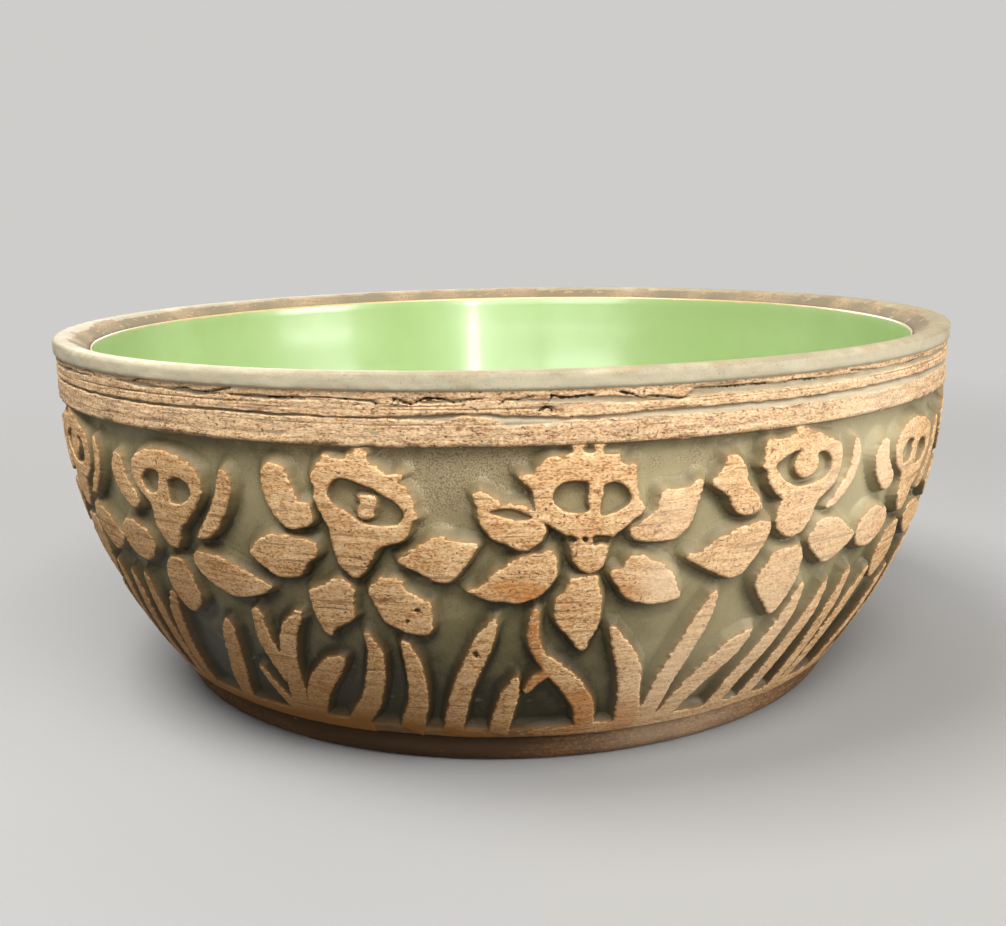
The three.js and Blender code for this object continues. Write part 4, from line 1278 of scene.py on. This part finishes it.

# %% [markdown]
# ## Scraped clay and glaze
# One recipe serves wall, frieze, collar and foot. Where the blade reached, it shows tan clay with level
# streaks, dark dashes and pits, rust where iron bled out, and painted shade and painted light where those
# were placed. Elsewhere it shows the satin glaze, pale where thin and dark where it gathered, with painted
# shade on top. The border between them is torn a little by fine noise, finer than the mesh. Lower edges get
# a brown rim and a painted shadow. The collar's cracks are dark inside.

# %% Tones of the outside
# each glaze set has a paler tone for painted light, and each clay set a darker tone for painted shade
SAGE = {"pale": colour(154, 142, 106), "plain": colour(116, 106, 74), "dark": colour(45, 41, 22),
        "bleached": colour(190, 178, 142)}
CLAY = {"pale": colour(238, 206, 160), "plain": colour(218, 176, 126), "dark": colour(166, 116, 66),
        "film": colour(142, 96, 46)}
EARTH = colour(84, 56, 34)
RUST = colour(198, 122, 50)
# a brown rim on the clay's lower edges, partly painted shade
SHADED_BROWN_EDGE = colour(142, 94, 50)
SPECK = colour(170, 114, 60)
# painted shadow on the glaze under lower edges
PAINTED_SHADOW = colour(40, 30, 20)
TORN_DARK = colour(58, 42, 28)
# painted light on the clay
PAINTED_LIGHT_CLAY = colour(243, 213, 176)
print("tones of glaze and clay:", *SAGE, *CLAY)

# %% [markdown]
# The clay is gritty. Crumbs of a third of a millimetre and larger clots set its tone, level streaks follow
# the turning blade, and dashes, lines and pits are the dark holes that it tore.

# %% The scraped clay


def clay_layer(f, tones):
    """Colour and height of scraped clay."""
    level = f.stretch(0.5, 0.5, 1.0)
    crumbs = f.noise(3600, 2.0, level)
    clots = f.noise(1300, 2.0, level)
    wide = f.noise(110, 3.0)
    streaks = f.noise(1500, 2.0, f.stretch(0.13, 0.13, 1.0))
    tone = f.between(f.sum((crumbs, 1.3), (clots, 0.5), (streaks, 0.6), (wide, 0.5)), 1.02, 1.88)
    clay = f.blend(f.between(tone, 0.0, 0.5), tones["dark"], tones["plain"])
    clay = f.blend(f.between(tone, 0.5, 1.0), clay, tones["pale"])
    rusty = f.between(f.sum((f.stored("iron"), 0.9), (clots, 1.0), (crumbs, 1.0)), 1.45, 2.25)
    clay = f.blend(f.times(rusty, 0.95), clay, RUST)
    specks = f.between(f.sum(f.noise(2600, 2.0, level), (f.stored("iron"), 0.1), (wide, 0.3)), 0.74, 0.84)
    clay = f.blend(f.times(specks, 0.7), clay, SPECK)
    dashes = f.between(f.noise(2100, 1.0, f.stretch(0.34, 0.34, 1.0)), 0.69, 0.76)
    lines = f.between(f.noise(1300, 1.0, f.stretch(0.05, 0.05, 1.0)), 0.63, 0.71)
    pits = f.between(f.sum(f.noise(1700, 0.0), (f.noise(160, 1.0), 0.25)), 0.875, 0.93)
    marks = f.add("Math", {0: dashes, 1: pits}, operation="MAXIMUM").outputs[0]
    marks = f.add("Math", {0: marks, 1: f.times(lines, 0.6)}, operation="MAXIMUM").outputs[0]
    clay = f.blend(f.times(marks, 0.75), clay, EARTH)
    # painted light on the clay
    clay = f.blend(f.times(f.stored("bleached"), 0.6), clay, PAINTED_LIGHT_CLAY)
    # painted shade on the clay, and on the lip's top
    clay = f.blend(f.stored("worn"), clay, tones["film"])
    # lower edges: a brown rim on the clay, partly painted shade
    clay = f.blend(f.times(f.stored("toast"), 0.55), clay, SHADED_BROWN_EDGE)
    height = f.sum((crumbs, 0.9), (streaks, 0.8), (specks, -0.2), (marks, -0.6))
    return clay, height


print("linear red of the clay, dark to pale:", [round(CLAY[k][0], 2) for k in ("dark", "plain", "pale")])

# %% [markdown]
# The glaze is darker where it gathers in the hollows, and painted shade darkens it in the hollows, under
# lumps, towards the bottom and where the painted shade spots lie. Painted light makes it paler. Sand and
# dark specks lie in it, it turns brown where it is thin, next to the scraped clay, and a painted shadow lies
# along lower edges.

# %% The satin glaze


def glaze_layer(f, tones):
    """Colour and height of the satin glaze."""
    height_up = f.add("SeparateXYZ", {0: f.place}).outputs["Z"]
    # painted shade: the glaze gets darker towards the bottom
    low_painted_shade = f.between(height_up, 0.055, 0.005)
    mottle = f.noise(260, 4.0)
    grains = f.noise(3400, 2.0)
    shade = f.sum((f.stored("hollow"), 1.15), (low_painted_shade, 0.95), (mottle, 0.7), (f.noise(60, 1.0), 0.4),
                  (grains, 0.4), (f.stored("worn"), 0.6), (f.stored("bleached"), -0.5))
    glaze = f.blend(f.between(shade, 0.7, 1.25), tones["pale"], tones["plain"])
    glaze = f.blend(f.between(shade, 1.15, 1.95), glaze, tones["dark"])
    sandy = f.between(f.sum((f.stored("grit"), 0.5), (f.noise(500, 3.0), 1.0)), 0.6, 1.0)
    sand = f.blend(f.between(grains, 0.36, 0.64), colour(120, 102, 72), colour(178, 160, 126))
    flank = f.between(f.stored("scraped"), -1.9, -1.0)
    glaze = f.blend(f.times(sandy, f.sum((flank, -0.6), (1.0, 0.8))), glaze, sand)
    specks = f.between(f.sum(grains, (f.stored("grit"), 0.05)), 0.66, 0.74)
    glaze = f.blend(f.times(specks, 0.6), glaze, EARTH)
    # painted light on the glaze
    glaze = f.blend(f.times(f.stored("bleached"), 0.45), glaze, tones["bleached"])
    thin = f.between(f.stored("scraped"), -0.6, -0.04)
    thin = f.sum((thin, 0.3), (f.between(f.stored("scraped"), -1.8, -0.7), 0.12))
    glaze = f.blend(thin, glaze, CLAY["dark"])
    # painted shadow on the glaze under lower edges
    glaze = f.blend(f.times(f.stored("toast"), 0.6), glaze, PAINTED_SHADOW)
    return glaze, f.sum((f.noise(900, 3.0), 0.7), (f.noise(3000, 2.0), 0.3))


print("linear red of the glaze, dark to pale:", [round(SAGE[k][0], 2) for k in ("dark", "plain", "pale")])

# %% [markdown]
# Two separate materials with a sharp border would look like paint. One material that changes over from
# glaze to clay at each point gives the torn border of the real bowl.

# %% Glaze over clay


def glazed_clay(name, glaze_tones, clay_tones, cracked=False):
    """Clay that was glazed and then scraped where it stood proud, with cracks if asked for."""
    f = Finish(name)
    clay, clay_height = clay_layer(f, clay_tones)
    glaze, glaze_height = glaze_layer(f, glaze_tones)
    teeth = f.noise(1900, 3.0, f.stretch(0.28, 0.28, 1.0))
    torn_edge = f.sum(f.stored("scraped"), (teeth, 1.3), (1.0, -0.65))
    if cracked:
        broken = f.noise(620, 5.0, f.stretch(0.4, 0.4, 1.0))
        torn_edge = f.sum(torn_edge, (broken, 1.1), (1.0, -0.55))
    bare = f.between(torn_edge, -0.04, 0.05)
    paint = f.blend(bare, glaze, clay)
    if cracked:
        jagged = f.sum(f.stored("crack"), (f.noise(1500, 4.0), 1.0), (f.noise(220, 2.0), 0.8))
        paint = f.blend(f.between(jagged, 1.02, 0.86), paint, TORN_DARK)
    f.feed(f.shader.inputs["Base Color"], paint)
    f.feed(f.shader.inputs["Roughness"], f.sum((bare, 0.32), (1.0, 0.52)))
    f.shader.inputs["Specular IOR Level"].default_value = 0.3
    clay_normal = f.bump(clay_height, 0.07)
    glaze_normal = f.bump(glaze_height, 0.08)
    mixed = f.add("Mix", {0: bare, 4: glaze_normal, 5: clay_normal}, data_type="VECTOR").outputs[1]
    f.feed(f.shader.inputs["Normal"], mixed)
    return f.material


outside_finish = glazed_clay("sage_glaze_over_clay", SAGE, CLAY)
print(outside_finish.name, "has", len(outside_finish.node_tree.nodes), "nodes")

# %% [markdown]
# The collar was rubbed more, so its glaze is greyer and its clay paler. The foot is brown earth with hardly
# any glaze. Both use the same recipe with tones of their own.

# %% The finishes of collar and foot
COLLAR_SAGE = {"pale": colour(184, 178, 152), "plain": colour(144, 138, 112), "dark": colour(70, 60, 38),
               "bleached": colour(222, 214, 184)}
COLLAR_CLAY = {"pale": colour(232, 202, 162), "plain": colour(208, 172, 130), "dark": colour(140, 106, 74),
               "film": colour(120, 108, 86)}
collar_finish = glazed_clay("collar_glaze_over_clay", COLLAR_SAGE, COLLAR_CLAY, cracked=True)
FOOT_CLAY = {"pale": colour(158, 120, 80), "plain": colour(118, 84, 52), "dark": colour(74, 50, 28),
             "film": colour(66, 46, 26)}
FOOT_GLAZE = {"pale": colour(132, 104, 70), "plain": colour(96, 76, 48), "dark": colour(44, 36, 22),
              "bleached": colour(146, 120, 84)}
foot_finish = glazed_clay("foot_clay", FOOT_GLAZE, FOOT_CLAY)
for piece in [*frieze.values(), wall]:
    piece.data.materials.append(outside_finish)
collar.data.materials.append(collar_finish)
foot.data.materials.append(foot_finish)
print("outside finishes:", outside_finish.name, collar_finish.name, foot_finish.name)

# %% [markdown]
# ## The green lining
# The inside has a smooth pale green glaze with a clear gloss on top. Its colour hardly varies: a little
# paler where it is thin near the lip, with soft clouds. Very faint waves in the surface bend reflections.

# %% The finish of the lining
f = Finish("green_gloss_glaze")
up = f.add("SeparateXYZ", {0: f.place}).outputs["Z"]
clouds = f.sum((f.noise(25, 2.0), 1.0), (f.noise(140, 2.0), 0.35))
green = f.blend(f.between(clouds, 0.45, 0.9), colour(146, 169, 108), colour(156, 180, 121))
worn = f.between(f.sum((up, 1000.0), (f.noise(300, 3.0), 1.6)), 70.6, 71.3)
f.feed(f.shader.inputs["Base Color"], f.blend(worn, green, colour(196, 168, 118)))
f.shader.inputs["Roughness"].default_value = 0.3
f.shader.inputs["Coat Weight"].default_value = 0.5
f.shader.inputs["Coat Roughness"].default_value = 0.14
f.feed(f.shader.inputs["Normal"], f.bump(f.noise(70, 1.0), 0.12))
lining.data.materials.append(f.material)
print("lining finish:", f.material.name)

# %% [markdown]
# ## The room
# The bowl stands on a wide pale sheet whose edge curves up far behind, as in a photographer's studio. Near
# the bowl the sheet takes light and shadow. Further off it turns into an even pale glow for the camera and
# for reflections, so that no horizon shows. Light that bounces off it on to the bowl sees a darker sheet,
# which keeps the modelling of the bowl's lower half.

# %% The studio sheet
SHEET_LINE = [(0.0, 0.0), (1.3, 0.0), (1.7, 0.05), (1.95, 0.2), (2.1, 0.5), (2.15, 0.9)]
clear_selection()
bpy.ops.mesh.primitive_circle_add(vertices=96, radius=1, fill_type="TRIFAN")
floor = bpy.context.object
floor.name = floor.data.name = "studio_sheet"
place_points(floor, points_of(floor) * (SHEET_LINE[1][0], SHEET_LINE[1][0], 0))
for r, z in SHEET_LINE[2:]:
    places = points_of(floor)
    edge = np.hypot(places[:, 0], places[:, 1]).max()
    bpy.ops.object.mode_set(mode="EDIT")
    bpy.ops.mesh.select_all(action="SELECT")
    bpy.ops.mesh.region_to_loop()
    bpy.ops.mesh.extrude_region_move()
    bpy.ops.transform.resize(value=(r / edge, r / edge, 1))
    bpy.ops.transform.translate(value=(0, 0, z - places[:, 2].max()))
    bpy.ops.object.mode_set(mode="OBJECT")
bpy.ops.object.shade_smooth()
print("studio sheet:", len(floor.data.polygons), "faces")

# %% [markdown]
# The paper asks of each ray what kind it is. The camera sees pale paper that turns into an even glow, and
# light that bounces sees a darker one.

# %% The paper
f = Finish("studio_sheet_paper")
rays = f.add("LightPath").outputs
seen = f.add("Math", {0: rays["Is Camera Ray"], 1: rays["Is Glossy Ray"]}, operation="MAXIMUM").outputs[0]
seen = f.add("Math", {0: seen, 1: rays["Is Transmission Ray"]}, operation="MAXIMUM").outputs[0]
f.feed(f.shader.inputs["Base Color"], f.blend(seen, colour(80, 76, 70), colour(146, 145, 143)))
f.shader.inputs["Roughness"].default_value = 0.9
f.feed(f.shader.inputs["Normal"], f.bump(f.noise(500, 2.0), 0.02))
away = f.add("VectorMath", {0: f.place}, operation="LENGTH").outputs["Value"]
far = f.times(f.between(away, 0.17, 0.5), seen)
glow = f.add("Emission", {"Color": colour(206, 205, 203), "Strength": 1.0}).outputs[0]
shown = f.add("MixShader", {0: far, 1: f.shader.outputs[0], 2: glow}).outputs[0]
f.feed(f.tree.nodes["Material Output"].inputs["Surface"], shown)
floor.data.materials.append(f.material)
print("sheet finish:", f.material.name)

# %% [markdown]
# ## Light
# Three large soft lamps stand above, at the upper left and low on the right, with weaker ones in front
# and behind. The world adds a soft even light. Two more lamps are there for reflections in the lining
# alone, as a photographer would set up reflectors: a narrow one for the upright streak and a broad one for
# the sheen beside it. They give no diffuse light and reach no other piece.

# %% Lamps


def lamp(name, place, width, height, power, target=(0.0, 0.0, 0.03)):
    """A rectangular lamp that faces the target."""
    clear_selection()
    bpy.ops.object.light_add(type="AREA", location=place)
    new = bpy.context.object
    new.name = name
    new.data.shape = "RECTANGLE"
    new.data.size, new.data.size_y, new.data.energy = width, height, power
    aim = np.subtract(target, place)
    sideways = math.atan2(aim[0], -aim[1])
    new.rotation_euler = (math.atan2(math.hypot(aim[0], aim[1]), -aim[2]), 0, sideways + math.pi)
    new.visible_camera = False
    return new


key = lamp("key", (0.14, -0.58, 0.82), 0.6, 0.4, 9.4)
side = lamp("side", (0.95, -0.4, 0.3), 0.5, 0.35, 7.8)
over = lamp("over_left", (-0.4, -0.15, 1.0), 0.5, 0.5, 12.0)
front = lamp("front", (0.0, -1.0, 0.35), 0.5, 0.4, 2.8)
behind = lamp("behind", (-0.35, 0.95, 0.55), 0.8, 0.6, 6.0)
print("lamps:", [(light.name, round(light.data.energy, 1)) for light in (key, side, over, front, behind)])

# %% [markdown]
# The two reflectors are linked to the lining alone. Their light is turned off for everything matt.

# %% Reflectors for the lining
streak = lamp("streak", (0.16, -0.9, 0.2), 0.035, 0.18, 1.4, target=(0.0, 0.08, 0.06))
sheen = lamp("sheen", (-0.5, -0.85, 0.3), 0.5, 0.25, 3.5, target=(0.0, 0.08, 0.06))
glossy_pieces = bpy.data.collections.new("glossy_pieces")
glossy_pieces.objects.link(lining)
for reflector in (streak, sheen):
    reflector.visible_diffuse = False
    reflector.light_linking.receiver_collection = glossy_pieces
print("reflectors:", streak.name, sheen.name)

# %% [markdown]
# The world is a weak, slightly warm white. The camera sees it brighter than it shines, like the sheet.

# %% The world
world = bpy.data.worlds.new("soft_daylight")
bpy.context.scene.world = world
world.use_nodes = True
background = world.node_tree.nodes["Background"]
paths = world.node_tree.nodes.new("ShaderNodeLightPath")
background.inputs["Color"].default_value = (1.0, 0.98, 0.95, 1)
level = world.node_tree.nodes.new("ShaderNodeMapRange")
level.inputs["To Min"].default_value = 0.12
level.inputs["To Max"].default_value = 0.8
world.node_tree.links.new(paths.outputs["Is Camera Ray"], level.inputs["Value"])
world.node_tree.links.new(level.outputs["Result"], background.inputs["Strength"])
print("world:", len(world.node_tree.nodes), "nodes")

# %% [markdown]
# ## Each piece's place in the packed model
# Nothing on a bowl moves, so every piece rides on the one body. Each names the solid it stands for and the
# record's material slot.

# %% Ride and replace, with each piece's solid and slot listed
stands_for = {wall: ("bowl_wall", "sage_glaze"), collar: ("rim_collar", "collar_stoneware"),
              foot: ("foot_ring", "foot_stoneware"), lining: ("interior_glaze", "lining_glaze")}
for (kind, k), piece in frieze.items():
    stands_for[piece] = (f"{NODE_NAMES[kind]}_{k + 1:02d}", "bare_stoneware")
for piece, (node, slot) in stands_for.items():
    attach(piece, "root")
    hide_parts(node)
print(len(stands_for), "pieces stand for", len(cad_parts), "solids")

# %% [markdown]
